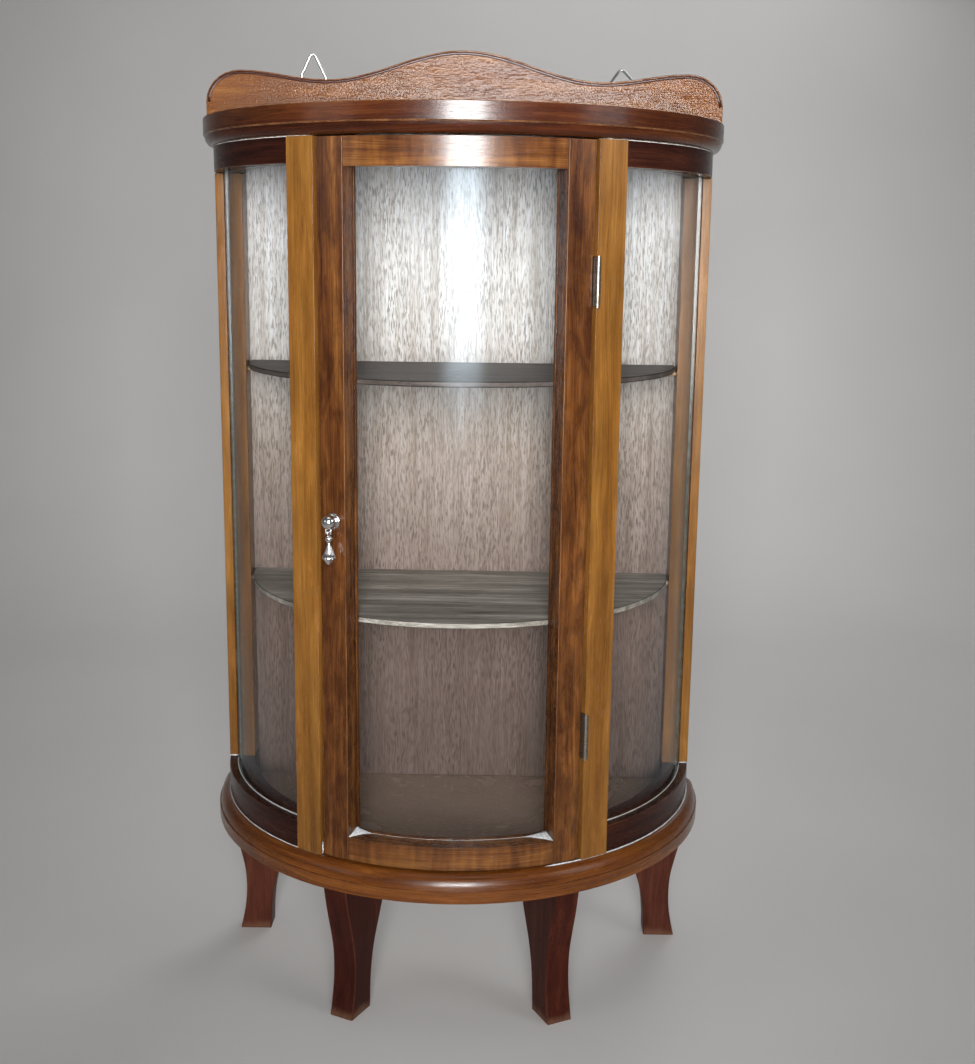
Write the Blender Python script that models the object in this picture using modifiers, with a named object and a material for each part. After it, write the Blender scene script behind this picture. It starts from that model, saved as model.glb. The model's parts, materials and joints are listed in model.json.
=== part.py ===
"""Half-round curio cabinet on four sawn legs, with one bowed glass door, two shelves and two hanging rings.

The plan is a true half circle whose centre lies on the flat back. Angles are measured round that
centre from the front, positive to the right. All lengths are in metres; +X right, -Y front, +Z up.
"""

import math

import bmesh
import bpy
from mathutils import Matrix

# Clearance between neighbouring pieces, and the longest step along an arc.
GAP = 0.0003
ARC_STEP = math.radians(3.75)

# Half-round body.
BODY_RADIUS = 0.165
INNER_RADIUS = 0.146
GLASS_RADIUS = 0.1585
GLASS_THICKNESS = 0.002
GROOVE_DEPTH = 0.004
GROOVE_END = math.radians(84.5)
CUT_THROUGH = 0.0010

# Heights of the horizontal joints.
BASE_BOTTOM = 0.0981
BASE_TOP = 0.1153
BOTTOM_RAIL_TOP = 0.1339
TOP_RAIL_BOTTOM = 0.5405
CORNICE_BOTTOM = 0.5558
CORNICE_TOP = 0.5731

# Moulded edges of the base and the cornice.
BASE_RADIUS = 0.1727
BASE_BAND = 0.0080
CORNICE_RADIUS = 0.1714
CORNICE_BAND = 0.0107
MOULD_STEP = 0.0008
MOULD_POINTS = 5
BOARD_STEPS = 96

# Back panel and rear posts.
PANEL_THICKNESS = 0.0032
PANEL_HALF = 0.1497
RABBET_DEPTH = 0.0035
RABBET_HALF = 0.1500
REAR_POST_INNER = 0.1460
REAR_POST_OUTER = 0.1640
REAR_POST_DEPTH = 0.0200
POST_SLOT = (0.1549, 0.1581)

# Front posts, flat faced and a little proud of the rails.
POST_START = math.radians(29.7)
POST_END = math.radians(36.6)
POST_FACE = 0.1656
POST_BACK = 0.1475
RAIL_START = math.radians(36.72)

# Door.
DOOR_HALF = math.radians(29.3)
OPENING_HALF = math.radians(23.1)
DOOR_RADIUS = 0.1640
DOOR_INNER = 0.1470
DOOR_BOTTOM = BASE_TOP + 0.0009
DOOR_TOP = CORNICE_BOTTOM - 0.0009
OPENING_BOTTOM = 0.1312
OPENING_TOP = 0.5382
DOOR_GLASS_RADIUS = 0.1520
SIGHT_REBATE = 0.0043
REBATE_HALF = math.radians(25.0)
JOINT_ANGLE = math.radians(0.12)
REBATE_OVERCUT = 0.0020
BEAD_WIDTH = 0.0038

# Shelves and their pins.
SHELF_TOPS = {"upper": 0.4165, "lower": 0.2695}
SHELF_THICKNESS = 0.0035
SHELF_RADIUS = 0.1455
PIN_RADIUS = 0.0015
PIN_LENGTH = 0.0110
PIN_REACH = 0.0060

# Legs: distance from the centre line and height of the two sawn edges, foot to top.
LEG_THICKNESS = 0.0170
LEG_OUTER_EDGE = ((0.1570, 0.0), (0.1537, 0.016), (0.1523, 0.030), (0.1529, 0.046),
                  (0.1560, 0.061), (0.1600, 0.077), (0.1640, 0.0978))
LEG_INNER_EDGE = ((0.1050, 0.0978), (0.1125, 0.083), (0.1190, 0.069), (0.1236, 0.058),
                  (0.1285, 0.046), (0.1324, 0.031), (0.1343, 0.014), (0.1348, 0.0))
FRONT_LEG_ANGLE = math.radians(27.0)
REAR_LEG_SHIFT = 0.0022
REAR_LEG_FACE = 0.0200
DOWEL_RADIUS = 0.0035
DOWEL_HALF = 0.0100
DOWEL_DISTANCE = 0.1400
DOWEL_CENTRE = 0.0965

# Crest board at the back of the cornice.
GALLERY_HALF = 0.1700
GALLERY_THICKNESS = 0.0120
GALLERY_PEAK = 0.6200
GALLERY_DIP = (0.0910, 0.6010)
GALLERY_SHOULDER = (0.1470, 0.6065)
GALLERY_CORNER = 0.0205
GALLERY_ROUND = 0.0030

# Hinges: the pin stands just in front of the gap between door and right-hand post.
HINGE_ANGLE = math.radians(29.5)
HINGE_RADIUS = 0.1681
HINGE_HEIGHT = 0.0280
HINGE_CENTRES = {"upper": 0.4752, "lower": 0.1980}
KNUCKLE_RADIUS = 0.0016
KNUCKLE_BORE = 0.00095
PIN_ROD_RADIUS = 0.00065
PIN_STAND = 0.0010
KNUCKLE_HALF = 0.0047
LEAF_THICKNESS = 0.0007
LEAF_OFFSET = 0.0007
LEAF_START = 0.0021
LEAF_END = 0.0145
TAB_OVERLAP = 0.0010
MORTISE_OVERCUT = 0.0004
MORTISE_MOUTH = 0.0060

# Catch inside the top left corner of the door.
CATCH_ANGLE = math.radians(-27.2)
STRIKE_SIZE = (0.0080, 0.0008, 0.0100)
CATCH_SIZE = (0.0080, 0.0100, 0.0120)
STRIKE_DROP = 0.0075

# Drop pull on the left stile.
PULL_ANGLE = math.radians(-26.0)
PULL_HEIGHT = 0.3325
PULL_ROSE_RADIUS = 0.0050
PULL_STEM_RADIUS = 0.0012
PULL_STEM_LENGTH = 0.0200
PULL_PIVOT_OUT = 0.0050
PULL_PIVOT_DROP = 0.0067
CHEEK_SIZE = (0.0009, 0.0018, 0.0044)
CHEEK_OFFSET = 0.00165
CHEEK_RISE = 0.0013
CROSS_PIN_RADIUS = 0.0006
EYE_RADIUS = 0.0014
EYE_WIRE = 0.0005
NUT_RADIUS = 0.0030
NUT_THICKNESS = 0.0018

# Hanging rings and their straps behind the crest board.
RIGHT_RING_LEAN = math.radians(50.0)
HANGERS = {"left": (-0.1010, 0.0), "right": (0.1050, RIGHT_RING_LEAN)}
RING_HEIGHT = 0.5998
RING_WIRE = 0.0009
RING_HALF = 0.0120
RING_LENGTH = 0.0200
RING_CORNER = 0.0025
STRAP_WIDTH = 0.0090
STRAP_THICKNESS = 0.0008
STRAP_LENGTH = 0.0155
STRAP_BARREL = 0.00205
STRAP_BORE = 0.00125
STRAP_SCREW_DROP = 0.0100
STRAP_SCREW_HEAD = 0.0026
STRAP_SCREW_SHANK = 0.0013
STRAP_SCREW_DEPTH = 0.0085
STRAP_SCREW_POINT = 0.0020

RING_AXIS_BEHIND = GAP + STRAP_BARREL
RING_REACH = RING_AXIS_BEHIND + (RING_LENGTH - RING_WIRE) * math.sin(RIGHT_RING_LEAN) + RING_WIRE
# The flat back stands here, so that the middle of the whole object's depth is at Y = 0.
BACK_Y = (BASE_RADIUS - RING_REACH) / 2

SIDES = {"left": -1, "right": 1}

FINISHES = {
    "case_wood": ((0.235, 0.085, 0.028), 0.42, 0.0),
    "door_wood": ((0.215, 0.078, 0.026), 0.42, 0.0),
    "post_wood": ((0.375, 0.165, 0.050), 0.42, 0.0),
    "leg_wood": ((0.185, 0.072, 0.036), 0.50, 0.0),
    "shelf_wood": ((0.260, 0.150, 0.085), 0.60, 0.0),
    "panel_wood": ((0.430, 0.250, 0.160), 0.70, 0.0),
    "dowel_wood": ((0.560, 0.390, 0.220), 0.70, 0.0),
    "clear_glass": ((0.800, 0.880, 0.880), 0.05, 0.0),
    "pull_metal": ((0.700, 0.700, 0.690), 0.18, 1.0),
    "plated_steel": ((0.660, 0.640, 0.600), 0.30, 1.0),
    "steel_wire": ((0.620, 0.650, 0.640), 0.35, 1.0),
    "dark_magnet": ((0.045, 0.042, 0.040), 0.55, 0.0),
}


# ---------------------------------------------------------------- helpers

def clear_scene():
    for item in list(bpy.data.objects):
        bpy.data.objects.remove(item, do_unlink=True)


def new_collection(name):
    collection = bpy.data.collections.new(name)
    bpy.context.scene.collection.children.link(collection)
    return collection


def new_material(name, colour, roughness, metallic):
    material = bpy.data.materials.new(name)
    material.use_nodes = True
    shader = material.node_tree.nodes["Principled BSDF"]
    shader.inputs["Base Color"].default_value = (*colour, 1.0)
    shader.inputs["Roughness"].default_value = roughness
    shader.inputs["Metallic"].default_value = metallic
    material.diffuse_color = (*colour, 1.0)
    return material


def new_object(name, mesh, finish=None):
    """A visible piece with its finish, or a cutter where no finish is given."""
    item = bpy.data.objects.new(name, mesh)
    if finish:
        PARTS.objects.link(item)
        item.data.materials.append(MATERIALS[finish])
    else:
        CUTTERS.objects.link(item)
        item.hide_render = True
        item.display_type = "WIRE"
    return item


def on_circle(radius, angle):
    return radius * math.sin(angle), -radius * math.cos(angle)


def place(item, radius=0.0, angle=0.0, height=0.0, turn=None):
    """Puts the item at a distance and angle from the centre of the plan."""
    x, y = on_circle(radius, angle)
    item.location = (x, BACK_Y + y, height)
    if turn is not None:
        item.rotation_euler = turn
    return item


def arc(radius, start, end):
    steps = max(1, math.ceil(abs(end - start) / ARC_STEP))
    return [on_circle(radius, start + (end - start) * i / steps) for i in range(steps + 1)]


def sector(inner, outer, start, end):
    return arc(outer, start, end) + arc(inner, end, start)


def smooth_run(points, steps):
    """A Catmull-Rom run through the points."""
    run = []
    padded = [points[0], *points, points[-1]]
    for before, start, end, after in zip(padded, padded[1:], padded[2:], padded[3:]):
        for i in range(steps):
            t = i / steps
            run.append(tuple(
                0.5 * (2 * b + (c - a) * t + (2 * a - 5 * b + 4 * c - d) * t**2
                       + (3 * b - a - 3 * c + d) * t**3)
                for a, b, c, d in zip(before, start, end, after)))
    return run + [points[-1]]


def mesh_of_curve(item):
    """The curve object's closed mesh, with its caps welded on."""
    bpy.context.view_layer.update()
    graph = bpy.context.evaluated_depsgraph_get()
    mesh = bpy.data.meshes.new_from_object(item.evaluated_get(graph))
    bpy.data.objects.remove(item, do_unlink=True)
    work = bmesh.new()
    work.from_mesh(mesh)
    bmesh.ops.remove_doubles(work, verts=work.verts, dist=1e-6)
    bmesh.ops.recalc_face_normals(work, faces=work.faces)
    work.to_mesh(mesh)
    work.free()
    mesh.materials.clear()
    return mesh


def plate(name, outline, thickness, finish=None):
    """A flat outline extruded to both sides of its own plane."""
    curve = bpy.data.curves.new(name, "CURVE")
    curve.dimensions = "2D"
    curve.fill_mode = "BOTH"
    curve.extrude = thickness / 2
    spline = curve.splines.new("POLY")
    spline.points.add(len(outline) - 1)
    for point, (x, y) in zip(spline.points, outline):
        point.co = (x, y, 0.0, 1.0)
    spline.use_cyclic_u = True
    guide = bpy.data.objects.new(name + "_outline", curve)
    CUTTERS.objects.link(guide)
    return new_object(name, mesh_of_curve(guide), finish)


def upright(name, outline, bottom, top, finish=None):
    """A plan outline standing between two heights, centred on the middle of the plan."""
    item = plate(name, outline, top - bottom, finish)
    return place(item, height=(bottom + top) / 2)


def primitive(name, build, finish, **options):
    mesh = bpy.data.meshes.new(name)
    work = bmesh.new()
    build(work, **options)
    work.to_mesh(mesh)
    work.free()
    return new_object(name, mesh, finish)


def box(name, size, finish=None):
    item = primitive(name, bmesh.ops.create_cube, finish, size=1.0)
    for vertex in item.data.vertices:
        vertex.co = [length * side for length, side in zip(vertex.co, size)]
    return item


def rod(name, radius, length, finish=None, sides=16):
    return primitive(name, bmesh.ops.create_cone, finish, cap_ends=True, segments=sides,
                     radius1=radius, radius2=radius, depth=length)


def turned(name, profile, steps, finish=None):
    """A profile of (radius, height) pairs, top to bottom, turned about Z."""
    mesh = bpy.data.meshes.new(name)
    edges = [(i, i + 1) for i in range(len(profile) - 1)]
    mesh.from_pydata([(radius, 0.0, height) for radius, height in profile], edges, [])
    item = new_object(name, mesh, finish)
    screw = item.modifiers.new("Turn", "SCREW")
    screw.steps = steps
    screw.render_steps = steps
    screw.use_merge_vertices = True
    screw.merge_threshold = 1e-6
    screw.use_smooth_shade = True
    return item


def shift_mesh(item, across=0.0, inwards=0.0, height=0.0):
    for vertex in item.data.vertices:
        vertex.co = (vertex.co.x + across, vertex.co.y + inwards, vertex.co.z + height)


def shade_round(item, limit=35.0):
    item.data.shade_smooth()
    item.data.set_sharp_from_angle(angle=math.radians(limit))


def boolean(item, other, operation):
    modifier = item.modifiers.new(operation.title(), "BOOLEAN")
    modifier.operation = operation
    modifier.solver = "EXACT"
    modifier.object = other


def cut(item, cutter):
    boolean(item, cutter, "DIFFERENCE")


def join(item, other):
    boolean(item, other, "UNION")


# ---------------------------------------------------------------- case

def moulding(radius, band, height, low_band):
    """Half profile of a board with a flat band, a fine step and a quarter round that ends on the body."""
    middle = height / 2
    round_width = radius - MOULD_STEP - BODY_RADIUS
    round_height = height - band
    quarter = [i / MOULD_POINTS * math.pi / 2 for i in range(MOULD_POINTS + 1)]
    run = [(BODY_RADIUS + round_width * math.sin(turn), middle - round_height * (1 - math.cos(turn)))
           for turn in quarter]
    run += [(radius, middle - round_height), (radius, -middle)]
    if not low_band:
        run = [(distance, -level) for distance, level in reversed(run)]
    return [(0.0, middle), *run, (0.0, -middle)]


def make_boards():
    """The base and the cornice are turned discs with their back half cut away."""
    back = box("back_half_cutter", (3 * BASE_RADIUS, 1.5 * BASE_RADIUS, 1.5 * CORNICE_TOP))
    back.location = (0.0, BACK_Y + 0.75 * BASE_RADIUS, CORNICE_TOP / 2)
    boards = {}
    sizes = {"base_board": (BASE_BOTTOM, BASE_TOP, BASE_RADIUS, BASE_BAND),
             "cornice_board": (CORNICE_BOTTOM, CORNICE_TOP, CORNICE_RADIUS, CORNICE_BAND)}
    for name, (low, high, radius, band) in sizes.items():
        profile = moulding(radius, band, high - low, name == "base_board")
        board = turned(name, profile, BOARD_STEPS, "case_wood")
        place(board, height=(low + high) / 2)
        cut(board, back)
        shade_round(board)
        boards[name] = board
    return boards["base_board"]


def make_back_panel():
    height = CORNICE_BOTTOM - BASE_TOP - 2 * GAP
    panel = box("back_panel", (2 * PANEL_HALF, PANEL_THICKNESS, height), "panel_wood")
    panel.location = (0.0, BACK_Y - PANEL_THICKNESS / 2, (BASE_TOP + CORNICE_BOTTOM) / 2)


def make_side_rails():
    rabbet = box("back_rabbet_cutter", (2 * RABBET_HALF, 2 * RABBET_DEPTH, CORNICE_TOP))
    rabbet.location = (0.0, BACK_Y, CORNICE_TOP / 2)
    levels = {"bottom": (BASE_TOP + GAP, BOTTOM_RAIL_TOP, BOTTOM_RAIL_TOP - GROOVE_DEPTH),
              "top": (TOP_RAIL_BOTTOM, CORNICE_BOTTOM - GAP, TOP_RAIL_BOTTOM + GROOVE_DEPTH)}
    groove_walls = (GLASS_RADIUS - GLASS_THICKNESS - GAP, GLASS_RADIUS + GAP)
    for level, (bottom, top, groove_end) in levels.items():
        for side, sign in SIDES.items():
            ring = sector(INNER_RADIUS, BODY_RADIUS, sign * RAIL_START, sign * math.pi / 2)
            rail = upright(f"side_rail_{level}_{side}", ring, bottom, top, "case_wood")
            groove = sector(*groove_walls, sign * POST_START, sign * GROOVE_END)
            if level == "bottom":
                cutter = upright(f"{rail.name}_groove_cutter", groove, groove_end, top + CUT_THROUGH)
            else:
                cutter = upright(f"{rail.name}_groove_cutter", groove, bottom - CUT_THROUGH, groove_end)
            cut(rail, cutter)
            cut(rail, rabbet)
            shade_round(rail)


def make_rear_posts():
    slot = POST_SLOT
    outline = [(REAR_POST_INNER, -REAR_POST_DEPTH), (slot[0], -REAR_POST_DEPTH),
               (slot[0], -REAR_POST_DEPTH + GROOVE_DEPTH + GAP),
               (slot[1], -REAR_POST_DEPTH + GROOVE_DEPTH + GAP),
               (slot[1], -REAR_POST_DEPTH), (REAR_POST_OUTER, -REAR_POST_DEPTH), (REAR_POST_OUTER, 0.0),
               (RABBET_HALF, 0.0), (RABBET_HALF, -RABBET_DEPTH), (REAR_POST_INNER, -RABBET_DEPTH)]
    posts = {}
    low, high = BOTTOM_RAIL_TOP + GAP, TOP_RAIL_BOTTOM - GAP
    for side, sign in SIDES.items():
        mirrored = [(sign * x, y) for x, y in outline]
        posts[side] = upright(f"rear_post_{side}", mirrored, low, high, "post_wood")
    return posts


def make_front_posts():
    """A wedge section: flat face and back, sides along the radii."""
    middle = (POST_START + POST_END) / 2
    half = (POST_END - POST_START) / 2
    slot_walls = (GLASS_RADIUS - GLASS_THICKNESS - GAP, GLASS_RADIUS + GAP)
    slot_depth = GROOVE_DEPTH / GLASS_RADIUS
    posts = {}
    for side, sign in SIDES.items():
        corners = [(POST_FACE / math.cos(half), middle - half), (POST_FACE / math.cos(half), middle + half),
                   (slot_walls[1], middle + half), (slot_walls[1], middle + half - slot_depth),
                   (slot_walls[0], middle + half - slot_depth), (slot_walls[0], middle + half),
                   (POST_BACK / math.cos(half), middle + half), (POST_BACK / math.cos(half), middle - half)]
        outline = [on_circle(radius, sign * angle) for radius, angle in corners]
        low, high = BASE_TOP + GAP, CORNICE_BOTTOM - GAP
        posts[side] = upright(f"front_post_{side}", outline, low, high, "post_wood")
    return posts


def make_side_glass():
    rear_end = math.acos((REAR_POST_DEPTH - GROOVE_DEPTH) / GLASS_RADIUS)
    front_end = POST_END - (GROOVE_DEPTH - GAP) / GLASS_RADIUS
    for side, sign in SIDES.items():
        outline = sector(GLASS_RADIUS - GLASS_THICKNESS, GLASS_RADIUS, sign * front_end, sign * rear_end)
        pane = upright(f"side_glass_{side}", outline, BOTTOM_RAIL_TOP - GROOVE_DEPTH + GAP,
                       TOP_RAIL_BOTTOM + GROOVE_DEPTH - GAP, "clear_glass")
        shade_round(pane)


def make_shelves(rear_posts, front_posts):
    back_edge = PANEL_THICKNESS + 2 * GAP
    end = math.acos(back_edge / SHELF_RADIUS)
    post_angle = (POST_START + POST_END) / 2
    for level, top in SHELF_TOPS.items():
        upright(f"{level}_shelf", arc(SHELF_RADIUS, -end, end), top - SHELF_THICKNESS, top, "shelf_wood")
        height = top - SHELF_THICKNESS - GAP - PIN_RADIUS
        middle = PIN_REACH - PIN_LENGTH / 2
        for side, sign in SIDES.items():
            spots = {"rear": (sign * (REAR_POST_INNER - middle), -REAR_POST_DEPTH / 2, math.pi / 2),
                     "front": (*on_circle(POST_BACK - middle, sign * post_angle), sign * post_angle)}
            posts = {"rear": rear_posts[side], "front": front_posts[side]}
            for row, (x, y, heading) in spots.items():
                pin = rod(f"shelf_pin_{level}_{row}_{side}", PIN_RADIUS, PIN_LENGTH, "plated_steel", 12)
                hole = rod(f"{pin.name}_hole_cutter", PIN_RADIUS + GAP, PIN_LENGTH + 2 * GAP, None, 12)
                for item in (pin, hole):
                    item.location = (x, BACK_Y + y, height)
                    item.rotation_euler = (math.pi / 2, 0.0, heading)
                shade_round(pin)
                cut(posts[row], hole)


# ---------------------------------------------------------------- legs and crest board

def make_legs(base):
    outline = smooth_run(LEG_OUTER_EDGE, 3) + smooth_run(LEG_INNER_EDGE, 3)
    rear_middle = REAR_LEG_FACE - LEG_THICKNESS / 2
    for side, sign in SIDES.items():
        for row in ("front", "rear"):
            name = f"leg_{row}_{side}"
            heading = sign * (FRONT_LEG_ANGLE if row == "front" else math.pi / 2)
            shift = 0.0 if row == "front" else REAR_LEG_SHIFT
            forward = 0.0 if row == "front" else rear_middle
            shifted = [(distance + shift, height) for distance, height in outline]
            leg = plate(name, shifted, LEG_THICKNESS, "leg_wood")
            leg.location = (0.0, BACK_Y - forward, 0.0)
            leg.rotation_euler = (math.pi / 2, 0.0, heading - math.pi / 2)
            x, y = on_circle(DOWEL_DISTANCE + shift, heading)
            spot = (x, BACK_Y - forward + y, DOWEL_CENTRE)
            dowel = rod(f"leg_dowel_{row}_{side}", DOWEL_RADIUS, 2 * DOWEL_HALF, "dowel_wood")
            hole = rod(f"{dowel.name}_hole_cutter", DOWEL_RADIUS + GAP, 2 * (DOWEL_HALF + GAP))
            dowel.location = spot
            hole.location = spot
            shade_round(dowel)
            cut(leg, hole)
            cut(base, hole)


def gallery_outline():
    dip_x, dip_z = GALLERY_DIP
    shoulder_x, shoulder_z = GALLERY_SHOULDER
    bottom = CORNICE_TOP + GAP
    half = []
    for i in range(12):
        x = dip_x * i / 12
        half.append((x, dip_z + (GALLERY_PEAK - dip_z) * 0.5 * (1 + math.cos(math.pi * x / dip_x))))
    for i in range(7):
        share = i / 7
        x = dip_x + (shoulder_x - dip_x) * share
        half.append((x, dip_z + (shoulder_z - dip_z) * 0.5 * (1 - math.cos(math.pi * share))))
    for i in range(8):
        turn = math.pi / 2 * i / 7
        half.append((shoulder_x + (GALLERY_HALF - shoulder_x) * math.sin(turn),
                     shoulder_z - GALLERY_CORNER * (1 - math.cos(turn))))
    half.append((GALLERY_HALF, bottom))
    return half + [(-x, z) for x, z in reversed(half[1:])]


def edge_is_sharp(mesh, edge):
    normals = [face.normal for face in mesh.polygons if set(edge.vertices) <= set(face.vertices)]
    return abs(normals[0].dot(normals[1])) < 0.5


def make_gallery():
    """The front edge is rounded over all along the sawn top."""
    gallery = plate("gallery", gallery_outline(), GALLERY_THICKNESS, "case_wood")
    gallery.location = (0.0, BACK_Y - GALLERY_THICKNESS / 2, 0.0)
    gallery.rotation_euler = (math.pi / 2, 0.0, 0.0)
    mesh = gallery.data
    weights = mesh.attributes.new("bevel_weight_edge", "FLOAT", "EDGE")
    for edge in mesh.edges:
        ends = [mesh.vertices[i].co for i in edge.vertices]
        on_front = all(end.z > GALLERY_THICKNESS / 2 - 1e-6 for end in ends)
        above_foot = max(end.y for end in ends) > CORNICE_TOP + 2 * GAP
        if on_front and above_foot and edge_is_sharp(mesh, edge):
            weights.data[edge.index].value = 1.0
    bevel = gallery.modifiers.new("Rounded front edge", "BEVEL")
    bevel.limit_method = "WEIGHT"
    bevel.width = GALLERY_ROUND
    bevel.segments = 3
    return gallery


# ---------------------------------------------------------------- door

def make_door_frame():
    """Stiles with a rebate down their inner side, and rails lapped into that rebate."""
    seat = DOOR_GLASS_RADIUS + GAP
    stiles = {}
    for side, sign in SIDES.items():
        outline = (arc(DOOR_RADIUS, sign * OPENING_HALF, sign * DOOR_HALF)
                   + arc(DOOR_INNER, sign * DOOR_HALF, sign * REBATE_HALF)
                   + arc(seat, sign * REBATE_HALF, sign * OPENING_HALF))
        stiles[side] = upright(f"door_stile_{side}", outline, DOOR_BOTTOM, DOOR_TOP, "door_wood")
        shade_round(stiles[side])

    shoulder = OPENING_HALF - JOINT_ANGLE
    lap = REBATE_HALF - JOINT_ANGLE
    outline = (arc(DOOR_RADIUS, -shoulder, shoulder)
               + [on_circle(DOOR_GLASS_RADIUS, shoulder), on_circle(DOOR_GLASS_RADIUS, lap)]
               + arc(DOOR_INNER, lap, -lap)
               + [on_circle(DOOR_GLASS_RADIUS, -lap), on_circle(DOOR_GLASS_RADIUS, -shoulder)])
    rebate_outline = sector(DOOR_INNER - REBATE_OVERCUT, seat, -DOOR_HALF, DOOR_HALF)
    cuts = {"bottom": (OPENING_BOTTOM - SIGHT_REBATE, OPENING_BOTTOM + REBATE_OVERCUT),
            "top": (OPENING_TOP - REBATE_OVERCUT, OPENING_TOP + SIGHT_REBATE)}
    levels = {"bottom": (DOOR_BOTTOM, OPENING_BOTTOM), "top": (OPENING_TOP, DOOR_TOP)}
    for level, (bottom, top) in levels.items():
        low, high = cuts[level]
        rail = upright(f"door_rail_{level}", outline, bottom, top, "door_wood")
        cut(rail, upright(f"{rail.name}_rebate_cutter", rebate_outline, low, high))
        shade_round(rail)
    return stiles


def make_door_glass():
    """The pane, and the four slips that hold it in the rebate from the inside."""
    pane_inner = DOOR_GLASS_RADIUS - GLASS_THICKNESS
    pane_half = REBATE_HALF - 2 * JOINT_ANGLE
    bottom = OPENING_BOTTOM - SIGHT_REBATE + GAP
    top = OPENING_TOP + SIGHT_REBATE - GAP
    outline = sector(pane_inner, DOOR_GLASS_RADIUS, -pane_half, pane_half)
    pane = upright("door_glass", outline, bottom, top, "clear_glass")
    shade_round(pane)

    inner, outer = DOOR_INNER + GAP, pane_inner - GAP
    upright_start = pane_half - BEAD_WIDTH / outer
    half = upright_start - JOINT_ANGLE
    levels = {"bottom": (bottom, bottom + BEAD_WIDTH), "top": (top - BEAD_WIDTH, top)}
    for level, (low, high) in levels.items():
        bead = upright(f"glass_bead_{level}", sector(inner, outer, -half, half), low, high, "door_wood")
        shade_round(bead)
    for side, sign in SIDES.items():
        outline = sector(inner, outer, sign * upright_start, sign * pane_half)
        upright(f"glass_bead_{side}", outline, bottom, top, "door_wood")


def strike_face():
    """Distance from the centre to the side of the strike plate that meets the door."""
    return DOOR_INNER * math.cos(STRIKE_SIZE[0] / 2 / DOOR_INNER) - GAP


def make_strike():
    strike = box("strike_plate", STRIKE_SIZE, "plated_steel")
    radius = strike_face() - STRIKE_SIZE[1] / 2
    place(strike, radius, CATCH_ANGLE, DOOR_TOP - STRIKE_DROP, (0.0, 0.0, CATCH_ANGLE))


def make_magnet():
    """A magnet block under the cornice that the strike plate meets when the door is shut."""
    catch = box("magnet_catch", CATCH_SIZE, "dark_magnet")
    middle = strike_face() - STRIKE_SIZE[1] - GAP - CATCH_SIZE[1] / 2
    place(catch, middle, CATCH_ANGLE, CORNICE_BOTTOM - GAP - CATCH_SIZE[2] / 2, (0.0, 0.0, CATCH_ANGLE))


# ---------------------------------------------------------------- hinges

def hinge_leaf(name, side_sign, knuckles, finish):
    """A flat leaf along the radius with its knuckles round the pin. Local +Y runs inwards from the pin."""
    leaf = box(name, (LEAF_THICKNESS, LEAF_END - LEAF_START, HINGE_HEIGHT), finish)
    offset = side_sign * LEAF_OFFSET
    shift_mesh(leaf, offset, (LEAF_START + LEAF_END) / 2)
    tab_reach = LEAF_START + TAB_OVERLAP
    for index, (low, high) in enumerate(knuckles):
        barrel = rod(f"{name}_knuckle_{index}", KNUCKLE_RADIUS, high - low)
        shift_mesh(barrel, height=(low + high) / 2)
        tab = box(f"{name}_tab_{index}", (LEAF_THICKNESS, tab_reach, high - low))
        shift_mesh(tab, offset, tab_reach / 2, (low + high) / 2)
        for item in (barrel, tab):
            item.parent = leaf
            join(leaf, item)
    bore = rod(f"{name}_bore_cutter", KNUCKLE_BORE, HINGE_HEIGHT * 1.1)
    bore.parent = leaf
    cut(leaf, bore)
    return leaf


def make_hinge_leaves(owner_name, sign, owner):
    """Both leaves on one side of the gap, each let into its owner. The door has the middle knuckle."""
    reach = HINGE_HEIGHT / 2
    if owner_name == "door":
        knuckles = [(-KNUCKLE_HALF, KNUCKLE_HALF)]
    else:
        knuckles = [(-reach, -KNUCKLE_HALF - GAP), (KNUCKLE_HALF + GAP, reach)]
    along_radius = (0.0, 0.0, HINGE_ANGLE)
    depth = LEAF_OFFSET + LEAF_THICKNESS / 2 + GAP
    size = (depth + MORTISE_OVERCUT, LEAF_END + MORTISE_MOUTH, HINGE_HEIGHT + 2 * GAP)
    for level, height in HINGE_CENTRES.items():
        leaf = hinge_leaf(f"hinge_{level}_{owner_name}_leaf", sign, knuckles, "plated_steel")
        place(leaf, HINGE_RADIUS, HINGE_ANGLE, height, along_radius)
        shade_round(leaf)
        mortise = box(f"hinge_{level}_{owner_name}_mortise_cutter", size)
        shift_mesh(mortise, sign * (depth - MORTISE_OVERCUT) / 2, LEAF_END + GAP - size[1] / 2)
        place(mortise, HINGE_RADIUS, HINGE_ANGLE, height, along_radius)
        cut(owner, mortise)


def make_hinge_pins():
    for level, height in HINGE_CENTRES.items():
        pin = rod(f"hinge_{level}_pin", PIN_ROD_RADIUS, HINGE_HEIGHT + 2 * PIN_STAND, "plated_steel", 12)
        place(pin, HINGE_RADIUS, HINGE_ANGLE, height)
        shade_round(pin)


# ---------------------------------------------------------------- pull

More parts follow.
